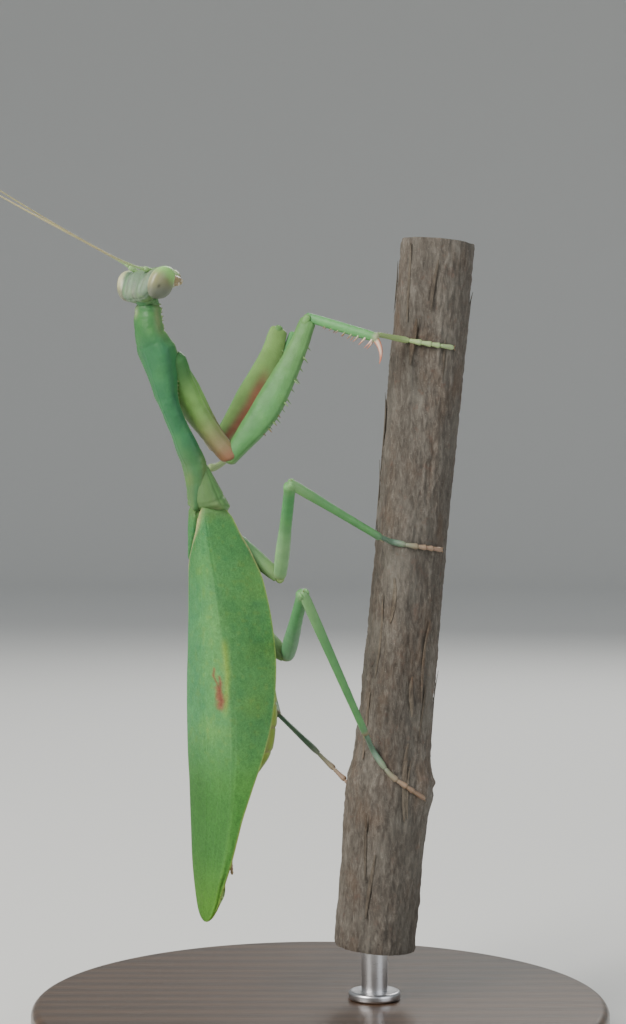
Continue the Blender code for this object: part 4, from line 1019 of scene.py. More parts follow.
def makeCoxa(leg):
    leaf, tan, yellow, red, legPale = paintOf("coxa", "coxaTan", "yellow", "red", "legPale")
    fore = leg.fore

    def paint(share, turn, points):
        if fore:
            tone = coated(np.array(tones["prozone"]) * 0.95, (leaf * 1.05, ease(share, 0.1, 0.45)),
                          (tan, 0.85 * ease(share, 0.45, 0.88)), (red * 1.3, 0.7 * hump(share, 0.95, 0.07)),
                          (tones["edge"], 0.5 * hump(np.sin(turn), -0.9, 0.35)))
        else:
            tone = blend(legPale * [1.1, 1.15, 1.3], yellow, 0.4 * ease(share, 0.2, 0.9))
        return coated(tone, ([0.8], mottle(points, 0.7, 31)))

    def relief(share, turn, points):
        ridge = (0.1 if fore else 0.05) * hump(np.sin(turn), -1, 0.25)
        groove = -0.05 * hump(np.cos(turn), 0.2 * leg.outer, 0.1) * ease(np.sin(turn), -0.2, 0.2)
        return (ridge + groove) * ease(share, 0.05, 0.15) + 0.02 * wobble(points, 0.5, 32)

    if fore:    # the root of the coxa lies under the shield's margin
        root = leg.hip - rightAxis * leg.hand * 1.4 - dorsalAxis * 0.9
        limb(leg, "coxa", root, leg.elbow + leg.coxaWay * 0.55, 150, 80, paint, relief, (0.04, 0.05), 2.25,
             leg.plan.get("bow", 1.0))
    else:
        limb(leg, "coxa", leg.hip - leg.coxaWay * 0.4, leg.elbow, 80, 48, paint, relief, (0.04, 0.05))


def foreFemurPaint(leg, share, turn, points):
    femur, pale, tan, yellow, red = paintOf("femur", "femurPale", "coxaTan", "yellow", "red")
    lift, face = np.sin(turn), np.cos(turn) * leg.outer
    inside = ease(-face, 0.2, 0.6) * ease(share, 0.02, 0.1)
    tone = blend(femur * [1.1, 1.1, 1.2], pale, 0.7 * ease(share, 0.35, 0.9)) * leg.plan.get("gain", 1)
    return coated(
        tone, (pale * [1.2, 1.12, 1.0], 0.5 * ease(-lift, 0.4, 1.0)),
        (pale * [0.95, 0.95, 1.05], 0.4 * ease(lift, 0.4, 0.95)), (pale * [1.7, 1.25, 1.1], 0.7 * inside),
        (tan * 0.8, 0.8 * inside * hump(lift, 0.05, 0.4) * ease(-share, -0.75, -0.45)),
        (red * 1.35, 0.9 * inside * hump(lift, 0.12, 0.32) * ease(-share, -0.7, -0.45)),
        (yellow, 0.35 * ease(-share, -0.08, 0.0)),
        ((0.1, 0.07, 0.04), 0.5 * hump(lift, 0.93, 0.05) * ease(-face, 0.1, 0.4)
         * hump(np.sin(share * 44), 1, 0.4) * ease(share, 0.4, 0.5)), ([0.82], mottle(points, 0.8, 33)))


def femurPaint(leg, share, turn, points):
    legTone, legPale, yellow = paintOf("leg", "legPale", "yellow")
    # on the mid legs the root is painted lighter, as painted light in the shade under the wings
    root = [1.5, 1.35, 1.6] if leg.kind == "mid" else [0.75, 0.87, 1.1]
    return coated(
        legPale * root, (legTone * [1.05, 1.1, 1.2], ease(share, 0.3, 0.75)),
        (legPale, 0.5 * ease(share, 0.85, 1.0)), (yellow, 0.5 * ease(-share, -0.1, 0.0)),
        ([0.82], mottle(points, 0.8, 33)))


def makeFemur(leg):
    def foreRelief(share, turn, points):
        lift, face = np.sin(turn), np.cos(turn) * leg.outer
        ridge = 0.04 * hump(lift, 0.86, 0.12) * ease(share, 0.1, 0.25) - 0.04 * hump(lift, 1, 0.06)
        hollow = -0.025 * hump(lift, 0.1, 0.4) * ease(face, 0.2, 0.8) * ease(share, 0.1, 0.4)
        return ridge + hollow + 0.03 * wobble(points, 0.9, 34) + 0.012 * wobble(points, 0.3, 38)

    def relief(share, turn, points):
        ridges = 0.035 * (hump(np.sin(turn), 0.8, 0.15) + hump(np.sin(turn), -0.8, 0.15))
        return ridges + 0.012 * wobble(points, 0.4, 35)

    if leg.fore:
        limb(leg, "femur", leg.elbow - leg.femurWay * 0.9, leg.knee, 200, 80,
             lambda s, t, p: foreFemurPaint(leg, s, t, p), foreRelief, square=2.2,
             deep=leg.plan.get("deep", 1.0))
    else:
        limb(leg, "femur", leg.elbow, leg.knee, 160, 44, lambda s, t, p: femurPaint(leg, s, t, p), relief,
             square=2.1)


def makeJoints(leg):
    # the small ring between coxa and femur, and the lobes that flank the knee
    pale, tan, yellow, legPale = paintOf("femurPale", "coxaTan", "yellow", "legPale")
    size, lobeOut, lobeDeep, lobeSize = (1.05, 0.52, 0.12, 0.24) if leg.fore else (0.7, 0.42, 0.1, 0.22)
    steps = np.linspace(-1, 1, 20)[:, None]
    ring = leg.elbow + unit(leg.femurWay - leg.coxaWay) * 0.1 + leg.coxaWay * (steps * size * 0.9)
    size = np.full(20, size)
    sweep(skin, ring, leg.side, np.cross(leg.coxaWay, leg.side), size * 0.95, size, size, 32,
          blend(tan if leg.fore else yellow, legPale, 0.4), ends=(0.45, 0.45))
    along = leg.knee + leg.femurWay * np.linspace(-1.1, leg.plan.get("lobe", 0.35), 16)[:, None]
    size = np.full(16, lobeSize)
    for lobe in (-1, 1):
        spots = along + leg.side * lobe * lobeOut + leg.blade * lobeDeep
        sweep(skin, spots, leg.side, leg.blade, size, size * 1.9, size * 1.9, 24,
              pale if leg.fore else legPale, ends=(0.4, 0.3))


def makeTibia(leg):
    tibia, legTone, legPale, tarsus, tan = paintOf("tibia", "leg", "legPale", "tarsus", "tarsusTan")

    def paint(share, turn, points):
        if leg.fore:
            layers = [(tibia * [1.1, 1.02, 0.95], share), ((0.5, 0.42, 0.3), 0.7 * ease(share, 0.9, 1.0))]
        else:
            layers = [(legTone * [1.25, 1.1, 1.2], ease(share, 0.05, 0.4)),
                      (tarsus, 0.6 * ease(share, 0.85, 1.0))]
        if leg.kind == "hind":
            layers.append((tan, 0.8 * hump(share, 0.985, 0.02)))
        return coated(tibia if leg.fore else legPale, *layers, ([0.84], mottle(points, 0.7, 36)))

    def relief(share, turn, points):
        ridges = 0.02 * (hump(np.sin(turn), 0.8, 0.2) + hump(np.sin(turn), -0.8, 0.2))
        return ridges + 0.01 * wobble(points, 0.35, 37)

    limb(leg, "tibia", leg.bend - leg.tibiaWay * 0.35, leg.ankle, 110 if leg.fore else 160, 40, paint, relief)


clawTones = {"root": np.array(tones["femurPale"]) * [1.6, 1.25, 1.4], "tip": np.array([0.16, 0.08, 0.04]),
             "white": np.array([0.62, 0.5, 0.4]), "rust": np.array([0.48, 0.13, 0.06])}


def toothRow(part, start, end, blade, side, teeth, offset, root, tip, lean=0.35, radius=0.13):
    along = unit(end - start)
    for share, length in teeth:
        depth, shift = smoothTable(limbShape[part]["fore"], share)[1:]
        middle = start + (end - start) * share + blade * shift
        base = middle + side * offset * (0.75 if offset else 0) + blade * depth * (0.62 if offset else 0.85)
        way = unit(blade + side * offset * 0.55 - along * lean)
        reach = length + depth * (0.38 if offset else 0.15)
        spike(spines, base, base + way * reach, radius + 0.05 * length, root, along * -0.06 * length, tip)


def graspingTeeth(leg):
    # rows of teeth under the fore femur, and finer ones along the tibia that shuts against it
    root, tip, white, rust = clawTones.values()
    for teeth, offset, shade, lean, radius in (
            ([(0.34, 0.6), (0.48, 0.75), (0.63, 0.75), (0.78, 0.6)], 0.12, root * 0.75, 0.3, 0.14),
            ([(0.3 + 0.068 * i, 0.66 if i % 2 else 0.4) for i in range(9)], -0.5, root * 0.8, 0.45, 0.1),
            ([(0.24, 0.5), (0.285, 0.8), (0.335, 0.7), (0.385, 0.45)], 0.0, tip, 0.35, 0.13)):
        toothRow("femur", leg.elbow, leg.knee, leg.blade, leg.side, teeth, offset * leg.outer, root, shade,
                 lean, radius)
    across = np.cross(leg.tibiaWay, leg.back)
    for offset, number in ((0.3, 6), (-0.3, 8)):
        for i in range(number):
            tooth = (0.07 + 0.66 * i / (number - 1), 0.95 * (1 - i / number) ** 1.6 + 0.2)
            share = ease(-i, -3.5, 0)
            toothRow("tibia", leg.ankle, leg.bend, leg.back, across, [tooth], offset,
                     root * (1 - share) + white * share, rust * (0.5 + 0.5 * share), -0.45, 0.08)


def hookedClaw(leg, rows=60, steps=8):
    # whitish with red edges
    white, rust, pale = clawTones["white"], clawTones["rust"], tones["femurPale"]
    spots = [leg.ankle - leg.tibiaWay * 0.7]
    for bend in np.radians(np.linspace(28, 88, steps)):
        spots.append(spots[-1] + (leg.tibiaWay * math.cos(bend) + leg.back * math.sin(bend)) * 0.43)
    path = smoothPath(spots, rows)
    side, up = tubeFrames(path, leg.back)
    radius = 0.38 * (1 - np.linspace(0, 1, rows) ** 1.3) + 0.02

    def paint(share, turn, points):
        edges = np.maximum(hump(np.sin(turn), 1, 0.6) + hump(np.sin(turn), -1, 0.5), ease(share, 0.5, 0.85))
        return coated(np.array(pale), (white, ease(share, 0.08, 0.3)),
                      (rust, 0.95 * edges * ease(share, 0.08, 0.25)))

    sweep(spines, path, side, up, radius * 0.8, radius, radius, 20, paint, ends=(0.0, 0.03))


def walkingSpurs(leg):
    for hand in (-1, 1):
        out = leg.ankle + leg.side * 0.25 * hand
        spike(spines, out - leg.tibiaWay * 0.3, out + leg.tibiaWay * 0.5 + leg.side * 0.22 * hand, 0.07,
              (0.2, 0.24, 0.1), None, (0.12, 0.07, 0.03))
    spike(spines, leg.knee + leg.blade * 0.1, leg.knee + leg.femurWay * 0.75, 0.09, (0.15, 0.3, 0.12), None,
          (0.16, 0.1, 0.04))


footShape = {"rows": 150, "joints": [0.0, 0.46, 0.62, 0.73, 0.82, 1.0], "claw": (0.2, 0.12, 0.05),
             "clawTip": (0.05, 0.03, 0.015), "bristle": (0.3, 0.25, 0.12), "bristleTip": (0.2, 0.14, 0.07),
             "fore": ((0.22, 0.3, 0.12), (0.27, 0.36, 0.17))}


def toesOf(leg):
    # the heel, then the places the foot passes through
    heel = leg.ankle - leg.tibiaWay * 0.5 - (leg.back * 0.35 if leg.fore else 0)
    toes = [onCane(angle, height, 0.4) for angle, height in feetOnCane.get(leg.name, ())]
    for length, turn, pitch in freeToes.get(leg.name, ()):
        toes.append((toes[-1] if toes else heel) + heading(turn, pitch) * length)
    return [heel, heel + unit(toes[0] - heel)] + toes


def footSpines(path, side, up):
    # two claws, and the bristles of the soft pads
    tip, ahead, last = path[-1], unit(path[-1] - path[-12]), len(path) - 1
    for hand in (-1, 1):
        out = tip - ahead * 0.1 + side[-1] * 0.09 * hand
        spike(spines, out, out + ahead * 0.45 + side[-1] * 0.3 * hand - up[-1] * 0.32, 0.075,
              footShape["claw"], up[-1] * 0.14, footShape["clawTip"])
    for i in range(5, last - 4, 6):
        for hand in (-1, 1):
            root = path[i] + side[i] * 0.16 * hand - up[i] * 0.16
            way = unit(-up[i] + side[i] * 0.7 * hand + unit(path[min(i + 3, last)] - path[i]) * 0.9)
            spike(spines, root, root + way * 0.24, 0.022, footShape["bristle"], None,
                  footShape["bristleTip"], 4, 3)


def makeFoot(leg):
    # five joints
    rows = footShape["rows"]
    path = smoothPath(toesOf(leg), rows)
    share = np.linspace(0, 1, rows)
    part = np.interp(share, footShape["joints"], np.arange(6)) % 1
    part[-1] = 1
    radius = 0.31 - 0.08 * share + leg.plan.get("palm", 0) * ease(share, 0.3, 0.7)
    joints = hump(part, 0, 0.06) + hump(part, 1, 0.06)
    radius = radius * (0.86 + 0.3 * ease(part, 0.2, 0.9) - 0.3 * joints)
    if leg.name in feetOnCane:
        outward = unit(path - caneCentre(path[:, 2])) * [1, 1, 0]
    else:
        outward = -leg.back
    side, up = tubeFrames(path, outward)
    start, end = footShape["fore"] if leg.fore else paintOf("tarsus", "tarsusTan")

    def pads(s, t, p):
        return 0.07 * ease(-np.sin(t), 0.3, 0.9) * ease(np.interp(s, share, part), 0.55, 0.95)

    sweep(skin, path, side, up, radius * 1.12, radius, radius * 1.05, 20,
          lambda s, t, p: blend(start, end, ease(s, 0.3, 0.75)), 2.0, pads, (0.02, 0.05))
    footSpines(path, side, up)


for name in legs:
    leg = Leg(name)
    makeCoxa(leg)
    makeFemur(leg)
    makeJoints(leg)
    makeTibia(leg)
    if leg.fore:
        graspingTeeth(leg)
        hookedClaw(leg)
    else:
        walkingSpurs(leg)
    makeFoot(leg)
print("legs made")

margin = {"knobs": 7, "teeth": 46}


def marginPoint(hand, place, wide, low):
    dorsal, width, above, below = smoothTable(trunkShape["prothorax"], place)
    return body(place, hand * width * wide, dorsal - low * below)


def makeMargin(hand):
    # blunt knobs beside the front half of the shield, then the teeth along its whole edge
    out = unit(rightAxis * hand * 0.72 - dorsalAxis * 0.7)
    edge = np.array(tones["edge"])
    for i in range(margin["knobs"]):
        root = marginPoint(hand, 17.2 + 0.92 * i + 0.12 * math.sin(i * 3.1), 0.75, 0.66) + out * 0.06
        spots = [root + out * step for step in (-0.2, 0, 0.16, 0.24 + 0.06 * math.sin(i * 2))]
        bentTube(skin, spots, (0.34, 0.34, 0.27, 0.12), 14, 16, edge * [0.9, 1, 0.9], ends=(0.3, 0.4))
    for i in range(margin["teeth"]):
        place = 3.0 + 20.3 * i / (margin["teeth"] - 1)
        grown = ease(place, 12, 17)
        root = marginPoint(hand, place, 0.78, 0.62) + out * 0.12
        tip = root + out * (0.1 + 0.17 * grown + 0.05 * math.sin(i * 2.3)) + forwardAxis * 0.04
        spike(spines, root - out * 0.15, tip, 0.1 + 0.05 * grown, edge, None, edge * [0.8, 0.7, 0.7], 6, 4)


tailFeelers = {"base": (-38.4, 0.7, -3.9), "tip": (-41.9, 1.1, -4.1), "tone": (0.34, 0.22, 0.14)}


def makeTailFeeler(hand):
    base, tip = [body(forward, right * hand, dorsal)
                 for forward, right, dorsal in (tailFeelers["base"], tailFeelers["tip"])]
    beads = np.linspace(0, 1, 90)
    radii = (0.34 - 0.16 * beads) * (1 + 0.1 * np.sin(beads * math.tau * 9))
    path = base + (tip - base) * beads[:, None]
    side, up = tubeFrames(path, dorsalAxis)
    sweep(skin, path, side, up, radii, radii * 0.8, radii * 0.8, 20,
          lambda s, t, p: blend(tones["abdomen"], tailFeelers["tone"], ease(s, 0.3, 0.8)), ends=(0.02, 0.08))


for hand in (-1, 1):
    makeMargin(hand)
for hand in (-1, 1):
    makeTailFeeler(hand)

fleshNodes = [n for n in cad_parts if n.split("_")[0] in (
    "head", "neck", "prothorax", "pterothorax", "abdomen", "cercus", "coxa", "femur", "tibia", "tarsus")]
skin.make("mantis_skin", cuticle, "green_cuticle", fleshNodes)
spines.make("spines_and_claws", horn, "green_cuticle")

wingTone = {"flat": (0.076, 0.24, 0.07), "side": (0.054, 0.178, 0.048), "base": (0.046, 0.19, 0.055),
            "tip": (0.09, 0.24, 0.025), "low": (0.075, 0.22, 0.035), "cream": (0.38, 0.36, 0.17),
            "edge": (0.25, 0.31, 0.07), "stigma": (0.18, 0.3, 0.045), "scar": (0.2, 0.075, 0.04)}


def seamAt(forward):
    return 0.4 - 1.4 * ease(-forward, 0, 7.5)


def wingPoint(forward, across, inset):
    width, height, field = wingRows(forward)
    slope, fold = wingShape["slope"], wingShape["fold"]
    width = np.maximum(width - inset * math.tan(slope / 2), 0.15)
    past = np.abs(across) - 1
    side = 0.5 * (past + np.sqrt(past ** 2 + np.where(across > 0, fold, 0.4 * fold) ** 2))
    reach = np.abs(across) - side
    right = np.sign(across) * (width * reach + field * side * math.cos(slope))
    dorsal = height - inset + wingShape["crown"] * width * (1 - reach ** 2) - field * side * math.sin(slope)
    return body(forward, right, dorsal + 0.05 * field * np.sin(np.clip(side, 0, 1) * math.pi))


def outOf(base):
    # the way out of a sheet of points, to the dorsal side
    out = unit(np.cross(np.gradient(base, axis=0), np.gradient(base, axis=1)))
    return np.where(np.sum(out * dorsalAxis, -1, keepdims=True) < 0, -out, out)


def longVeins(back, a, span):
    drift = 0.03 * np.sin(back * 0.35)
    rows = [(1.0 + drift * 0.5, 0.2, 0.06, 0.0, 60.0), (1.13 + 0.0015 * back, 0.13, 0.03, 0.0, 60.0),
            (0.84 - 0.006 * back + drift, 0.1, 0.035, 1.0, 44.0),
            (0.62 - 0.004 * back - drift, 0.1, 0.03, 2.0, 43.0),
            (0.62 - 0.019 * (back - 12) + drift, 0.09, 0.028, 12.0, 42.0),
            (0.4 - 0.012 * back + drift, 0.1, 0.03, 2.0, 40.0)]
    rows += [(0.42 - 0.012 * start - 0.085 * (back - start), 0.085, 0.026, start, start + 14)
             for start in (4.0, 9.0, 14.0, 19.0, 24.0, 29.0)]
    rows += [(0.2 - 0.03 * back, 0.09, 0.035, 0.5, 13), (0.05 - 0.07 * back, 0.09, 0.03, 0.5, 9)]
    return sum(tall * hump((a - line) * span, 0, width) * ease(back, low, low + 1.5)
               * (1 - ease(back, high - 3, high)) for line, width, tall, low, high in rows)


def veinMap(forward, across, hand):
    # raised veins and the webbing between them, in millimetres over the surface
    width, _, field = wingRows(forward)
    span = np.where(np.abs(across) < 1, width, field)
    a, back = across * hand, -forward
    outer = ease(a, 1.12, 1.25)
    sway = wobble(stacked(back * 0.35, a * 2.0, 0), 1.0, 43)
    fade = 0.35 + 0.65 * ease(wobble(stacked(back, a * 4, 0), 1.6, 44), -0.6, 0.5)
    # slanting veinlets of the side field, unevenly spaced, and cross veinlets between the long veins
    slant = back * 0.9 - (a - 1.1) * span * 0.85 + 0.5 * np.sin(back * 0.8) + 0.5 * sway
    steps = back * 0.75 + 0.6 * np.sin(np.floor(a * 7.0) * 2.4) + 0.5 * sway
    slanting = 0.022 * hump((slant / 1.35) % 1, 0.5, 0.09) * outer * fade
    crossing = 0.012 * hump(steps % 1, 0.5, 0.09) * (1 - outer) * fade
    return longVeins(back, a, span) + slanting + crossing + 0.05 * hump((2.0 - a) * span, 0.1, 0.1)


def sheet(shell, outer, inner, paint):
    # two faces of a thin sheet, joined round the rim
    rows, cols = outer.shape[:2]
    top = np.arange(rows * cols).reshape(rows, cols)
    low = top + rows * cols
    quads = [np.stack([top[:-1, :-1], top[:-1, 1:], top[1:, 1:], top[1:, :-1]], -1).reshape(-1, 4),
             np.stack([low[1:, :-1], low[1:, 1:], low[:-1, 1:], low[:-1, :-1]], -1).reshape(-1, 4)]
    for a, b in ((top[0], low[0]), (low[-1], top[-1]), (low[:, 0], top[:, 0]), (top[:, -1], low[:, -1])):
        quads.append(np.stack([a[1:], a[:-1], b[:-1], b[1:]], -1))
    shell.add(np.vstack([outer.reshape(-1, 3), inner.reshape(-1, 3)]), np.vstack(quads),
              np.vstack([paint.reshape(-1, 3), paint.reshape(-1, 3)]))


def forewingPlaces(hand, rows=400, cols=96):
    # forward and across of each point, where the base begins, and how far the wing lies under the other
    share = np.linspace(0, 1, cols)
    if hand > 0:    # the base runs aslant, highest in the middle of each wing
        start = 1.25 - 1.4 * (1 - share) ** 2.2 - 1.0 * share ** 3
    else:
        start = 1.25 - 0.5 * (1 - share) ** 3 - 1.2 * share ** 2
    forward = start + (-47.06 - start) * np.linspace(0, 1, rows)[:, None]
    seam = seamAt(forward)
    if hand > 0:
        across, under = seam + (1.985 - seam) * share, 0
    else:
        across = -1.985 + (np.minimum(seam + 0.1, 0.3) + 1.985) * share
        under = np.maximum(ease(-forward, 26, 35), ease(across, seam - 0.34, seam - 0.14))
    return share, start, forward, across, wingShape["layer"] * under + 0.05 + 0 * across


def forewingPaint(hand, forward, across, start, base, veins):
    flat, side, root, tip, low, cream, hem = [np.array(wingTone[k]) for k in (
        "flat", "side", "base", "tip", "low", "cream", "edge")]
    field = wingRows(forward)[2]
    a, back = across * hand, -forward
    rear = ease(back, 24, 32)
    shaded = ease(-a, -0.5, 0.3) if hand > 0 else np.ones_like(a)
    return coated(
        # painted shade: the hanging side field is painted darker than the flat top
        flat, (side, ease(a, 0.8, 1.15) * (1 - 0.8 * rear)),
        (flat * [0.75, 1.02, 1.35], 0.6 * ease(-a, -0.7, 0.4) * ease(back, 4, 10) * (1 - rear)),
        (root, 0.8 * (1 - ease(back, 2.5, 12)) * (1 - 0.6 * ease(a, 1.0, 1.2))),
        ([1.5, 1.12, 0.8], 0.45 * ease(wobble(base, 3.2, 45), 0.0, 0.8)),
        ([0.72, 0.86, 1.0], 0.6 * ease(wobble(base, 0.85, 46), 0.0, 0.9)),
        ([1.5, 1.05, 0.8], 0.55 * ease(wobble(base, 0.45, 47), 0.2, 0.8)),
        ([1.25, 1.15, 1.15], 0.5 * ease(wobble(base * [1, 1, 0.45], 0.4, 48), 0.1, 0.8)),
        (low, ease(back, 24, 34)), (tip, ease(back, 38, 46)),
        ([1.3, 1.15, 1.3], np.clip(veins * 9.0, 0, 0.6)),
        (tones["meso"], 0.85 * ease(forward - start, -2.4, -0.1) * (1 - 0.7 * ease(back, 0, 2))),
        # painted light: the rear of the side field is painted lighter against its shade
        ([1.35, 1.25, 1.15], 0.8 * ease(a, 0.95, 1.2) * rear),
        ([0.56, 0.72, 0.8], ease(back, 24, 34) * (1 - 0.5 * ease(back, 38, 45))), ([0.88], shaded),
        (hem, 0.9 * hump((2.0 - a) * field, 0.03, 0.1 + 0.02 * ease(back, 20, 36))),
        (cream * [1, 0.85, 0.9],
         0.6 * hump((2.0 - a) * field, 0.05, 0.16) * (1 - ease(back, 4, 8)) * ease(back, 0.5, 3)))


wingMarks = {"tear": [[(-17.9, 0.56), (-18.7, 0.51), (-19.5, 0.62), (-20.4, 0.68), (-21.2, 0.7),
                       (-22.0, 0.69)],
                      [(-18.8, 0.74), (-19.6, 0.76), (-20.3, 0.7), (-21.4, 0.74), (-22.0, 0.72)]],
             "stretch": 3.75, "fold": ([14, 18.5, 23.5], [1.0, 0.99, 0.84])}


def rightWingMarks(tone, outer, out, forward, a, base):
    # the pale seam edge, the pale mark on the fold, and a healed tear, forked at its upper end
    span, back, stretch = wingRows(forward)[0], -forward, wingMarks["stretch"]
    wide = 0.12 + 0.4 * (1 - ease(back, 0.5, 4.5)) + 0.1 * ease(back, 5, 8) * (1 - ease(back, 11, 14))
    pale = 0.85 * hump((a - seamAt(forward)) * span, 0, wide) * (1 - 0.65 * ease(back, 12, 18))
    fold = hump((a - np.interp(back, *wingMarks["fold"])) * span, 0.05, 0.3)
    tone = coated(tone, (np.array(wingTone["cream"]) * [0.9, 0.95, 0.85], pale),
                  (wingTone["stigma"], 0.8 * fold * ease(back, 14, 15.5) * (1 - ease(back, 21.5, 24))))
    scar = np.array(wingTone["scar"])
    for path in wingMarks["tear"]:
        for (f0, a0), (f1, a1) in zip(path, path[1:]):
            line = np.array([f1 - f0, (a1 - a0) * stretch])
            spot = stacked(forward - f0, (a - a0) * stretch)
            t = np.clip((spot @ line) / (line @ line), 0, 1)
            gap = np.linalg.norm(spot - t[..., None] * line, axis=-1)
            size = (0.17 if f0 > -19.6 else 0.48) * (1 + 0.35 * wobble(base, 0.4, 55))
            tone = coated(tone, (scar, 0.8 * hump(gap, 0, size)),
                          (scar * 0.5, 0.4 * hump(gap, 0, size * 0.3)))
            outer = outer - out * (0.05 * hump(gap, 0, size * 0.7))[..., None]
    return tone, outer


def makeForewing(hand):
    shell = Shell()
    share, start, forward, across, inset = forewingPlaces(hand)
    base = wingPoint(forward, across, inset)
    out = outOf(base)
    veins = veinMap(forward, across, hand)
    rim = np.minimum(start + 0.15 - forward, forward + 47.2) * 1.4
    edge = np.minimum(np.minimum(share, 1 - share) * 9, 1) * np.minimum(1, rim)
    wave = 0.07 * wobble(stacked(forward * 0.25, across * 2.2, 0), 1.0, 41) \
        + 0.025 * wobble(stacked(forward, across * 3, 0), 1.1, 42)
    dip = -0.32 * ease(forward - start, -0.9, 0.0)    # the root of the wing sinks into the thorax
    outer = base + out * (veins * edge + wave * edge + dip)[..., None]
    inner = base + out * (wave * edge + dip - 0.07 - 0.05 * edge)[..., None]
    tone = forewingPaint(hand, forward, across, start, base, veins)
    if hand > 0:
        tone, outer = rightWingMarks(tone, outer, out, forward, across, base)
    else:
        seam = seamAt(forward)
        tone = blend(tone, wingTone["cream"], 0.5 * ease(across, seam, seam + 0.1))
    sheet(shell, outer, inner, tone)
    name = "forewing_" + ("right" if hand > 0 else "left")
    shell.make(name + "_skin", forewing, "forewing", (name,))


hindwingShape = {"tone": (0.42, 0.6, 0.26), "pleatTone": (0.42, 0.54, 0.22)}


def makeHindwing(hand, rows=260, cols=64):
    shell = Shell()
    forward, share = np.linspace(-6.6, -45.9, rows)[:, None], np.linspace(0, 1, cols)
    # a little of it shows past the upper wing near its tip
    reach = 1.86 - 0.3 * ease(-forward, 24, 32) + 0.55 * hump(forward, -43.9, 1.1)
    forward, across = np.broadcast_arrays(forward, hand * (0.02 + (reach - 0.02) * share))
    base = wingPoint(forward, across, (2 if hand > 0 else 2.5) * wingShape["layer"] + 0.05)
    out = outOf(base)
    fans = (np.abs(across) * 16 - 0.02 * forward) % 1
    pleat = 0.05 * hump(fans, 0.5, 0.14) - 0.03 * hump(fans, 0.0, 0.2) - 0.03 * hump(fans, 1.0, 0.2)
    sheet(shell, base + out * pleat[..., None], base + out * (pleat - 0.1)[..., None],
          blend(hindwingShape["tone"], hindwingShape["pleatTone"], hump(fans, 0.5, 0.14)))
    name = "hindwing_" + ("right" if hand > 0 else "left")
    shell.make(name + "_skin", hindwing, "hindwing", (name,))


for hand in (1, -1):
    makeForewing(hand)
    makeHindwing(hand)
print("wings made")

# the rod starts a little over the table, inside the base, and ends up inside the cane
standShape = {"radius": 33.0, "height": 6.0, "edge": 1.0, "rod": 1.5, "rodEdge": 0.25, "rodFoot": 2.0,
              "rodUp": 6.5, "collar": (3.0, 1.0, 0.35)}


def lathe(name, profile, centre, look, slot, stands=()):
    shell = Shell()
    turn = fullTurn(160)
    rings = np.array([stacked(radius * np.cos(turn), radius * np.sin(turn), z) for radius, z in profile])
    shell.grid(rings + np.asarray(centre), np.array([0.5, 0.5, 0.5]))
    shell.make(name, look, slot, stands, 35)


def roundedProfile(radius, high, edge):
    bend = np.linspace(0, math.pi / 2, 9)
    lower = [(radius - edge + edge * math.sin(b), edge - edge * math.cos(b)) for b in bend]
    upper = [(radius - edge + edge * math.cos(b), high - edge + edge * math.sin(b)) for b in bend]
    return [(radius * 0.5, 0.0)] + lower + upper + [(radius * 0.9, high), (radius * 0.5, high)]


def makeStand():
    foot, high, low = caneCentre(caneShape["low"]), standShape["height"], standShape["rodFoot"]
    rodHeight = caneShape["low"] - tableHeight - low + standShape["rodUp"]
    lathe("stand_base_turned", roundedProfile(standShape["radius"], high, standShape["edge"]),
          (-waist[0], -waist[1], tableHeight), wood, "base_wood", ("stand_base",))
    lathe("stand_rod_turned", roundedProfile(standShape["rod"], rodHeight, standShape["rodEdge"]),
          (foot[0], foot[1], tableHeight + low), steel, "rod_steel", ("stand_rod",))
    lathe("stand_collar", roundedProfile(*standShape["collar"]), (foot[0], foot[1], tableHeight + high),
          steel, "rod_steel")


makeStand()
print("stand made")

studio = {"floor": (0.68, 0.68, 0.66, 1), "sides": 96, "air": (0.9, 0.95, 1.0, 1), "airStrength": 0.42,
          "middle": Vector((0.0, 0.0, 0.062)),
          # place, size, power, colour
          "lamps": {"key": ((-0.42, -0.34, 0.42), 0.36, 7.0, (1.0, 0.97, 0.92)),
                    "fill": ((0.5, -0.45, 0.2), 0.5, 2.0, (0.93, 0.97, 1.0)),
                    "back": ((0.15, 0.5, 0.45), 0.3, 2.0, (1.0, 0.99, 0.96))},
          "camera": (-0.00083, -0.241, 0.062), "lens": 73.65}


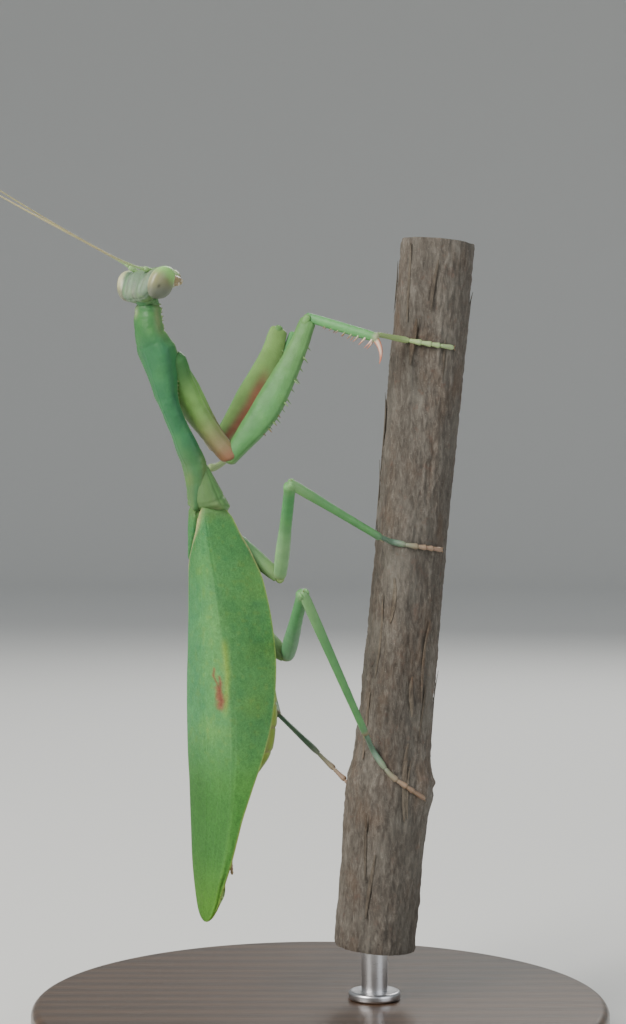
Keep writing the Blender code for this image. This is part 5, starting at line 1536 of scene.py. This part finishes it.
def makeFloor():
    # a floor that sweeps up into a low wall all round
    sides = studio["sides"]
    bend = np.linspace(0, math.pi / 2, 16)[1:]
    line = [(0.4, 0.0), (1.5, 0.0)] + [(1.5 + 0.6 * math.sin(b), 0.6 - 0.6 * math.cos(b)) for b in bend]
    line.append((2.1, 1.2))
    turns = [math.tau * i / sides for i in range(sides)]
    points = [(0, 0, 0)] + [(r * math.cos(t), r * math.sin(t), z) for r, z in line for t in turns]
    faces = [(0, 1 + i, 1 + (i + 1) % sides) for i in range(sides)]
    for k in range(len(line) - 1):
        near, far = 1 + sides * k, 1 + sides * (k + 1)
        faces += [(near + i, far + i, far + (i + 1) % sides, near + (i + 1) % sides) for i in range(sides)]
    mesh = bpy.data.meshes.new("floor")
    mesh.from_pydata(points, [], faces)
    mesh.shade_smooth()
    mesh.materials.append(newLook("floor", {"Roughness": 0.85, "IOR": 1.3, "Base Color": studio["floor"]})[0])
    floor = bpy.data.objects.new("floor", mesh)
    bpy.context.scene.collection.objects.link(floor)


def makeAir():
    world = bpy.data.worlds.new("studio")
    bpy.context.scene.world = world
    world.use_nodes = True
    backdrop = world.node_tree.nodes["Background"]
    backdrop.inputs["Color"].default_value = studio["air"]
    backdrop.inputs["Strength"].default_value = studio["airStrength"]


def makeLamp(name, place, size, power, colour):
    light = bpy.data.lights.new(name, "AREA")
    light.size, light.energy, light.color = size, power, colour
    lamp = bpy.data.objects.new(name, light)
    lamp.location = place
    lamp.visible_camera = False
    lamp.rotation_euler = (studio["middle"] - Vector(place)).to_track_quat("-Z", "Y").to_euler()
    bpy.context.scene.collection.objects.link(lamp)


def makeCamera():
    lens = bpy.data.cameras.new("camera")
    lens.lens, lens.sensor_width, lens.clip_start, lens.clip_end = studio["lens"], 36.0, 0.01, 20.0
    camera = bpy.data.objects.new("camera", lens)
    camera.location = studio["camera"]
    camera.rotation_euler = (math.radians(90), 0, 0)
    bpy.context.scene.collection.objects.link(camera)
    bpy.context.scene.camera = camera


makeFloor()
makeAir()
for name, lamp in studio["lamps"].items():
    makeLamp(name, *lamp)
makeCamera()
print("studio made")
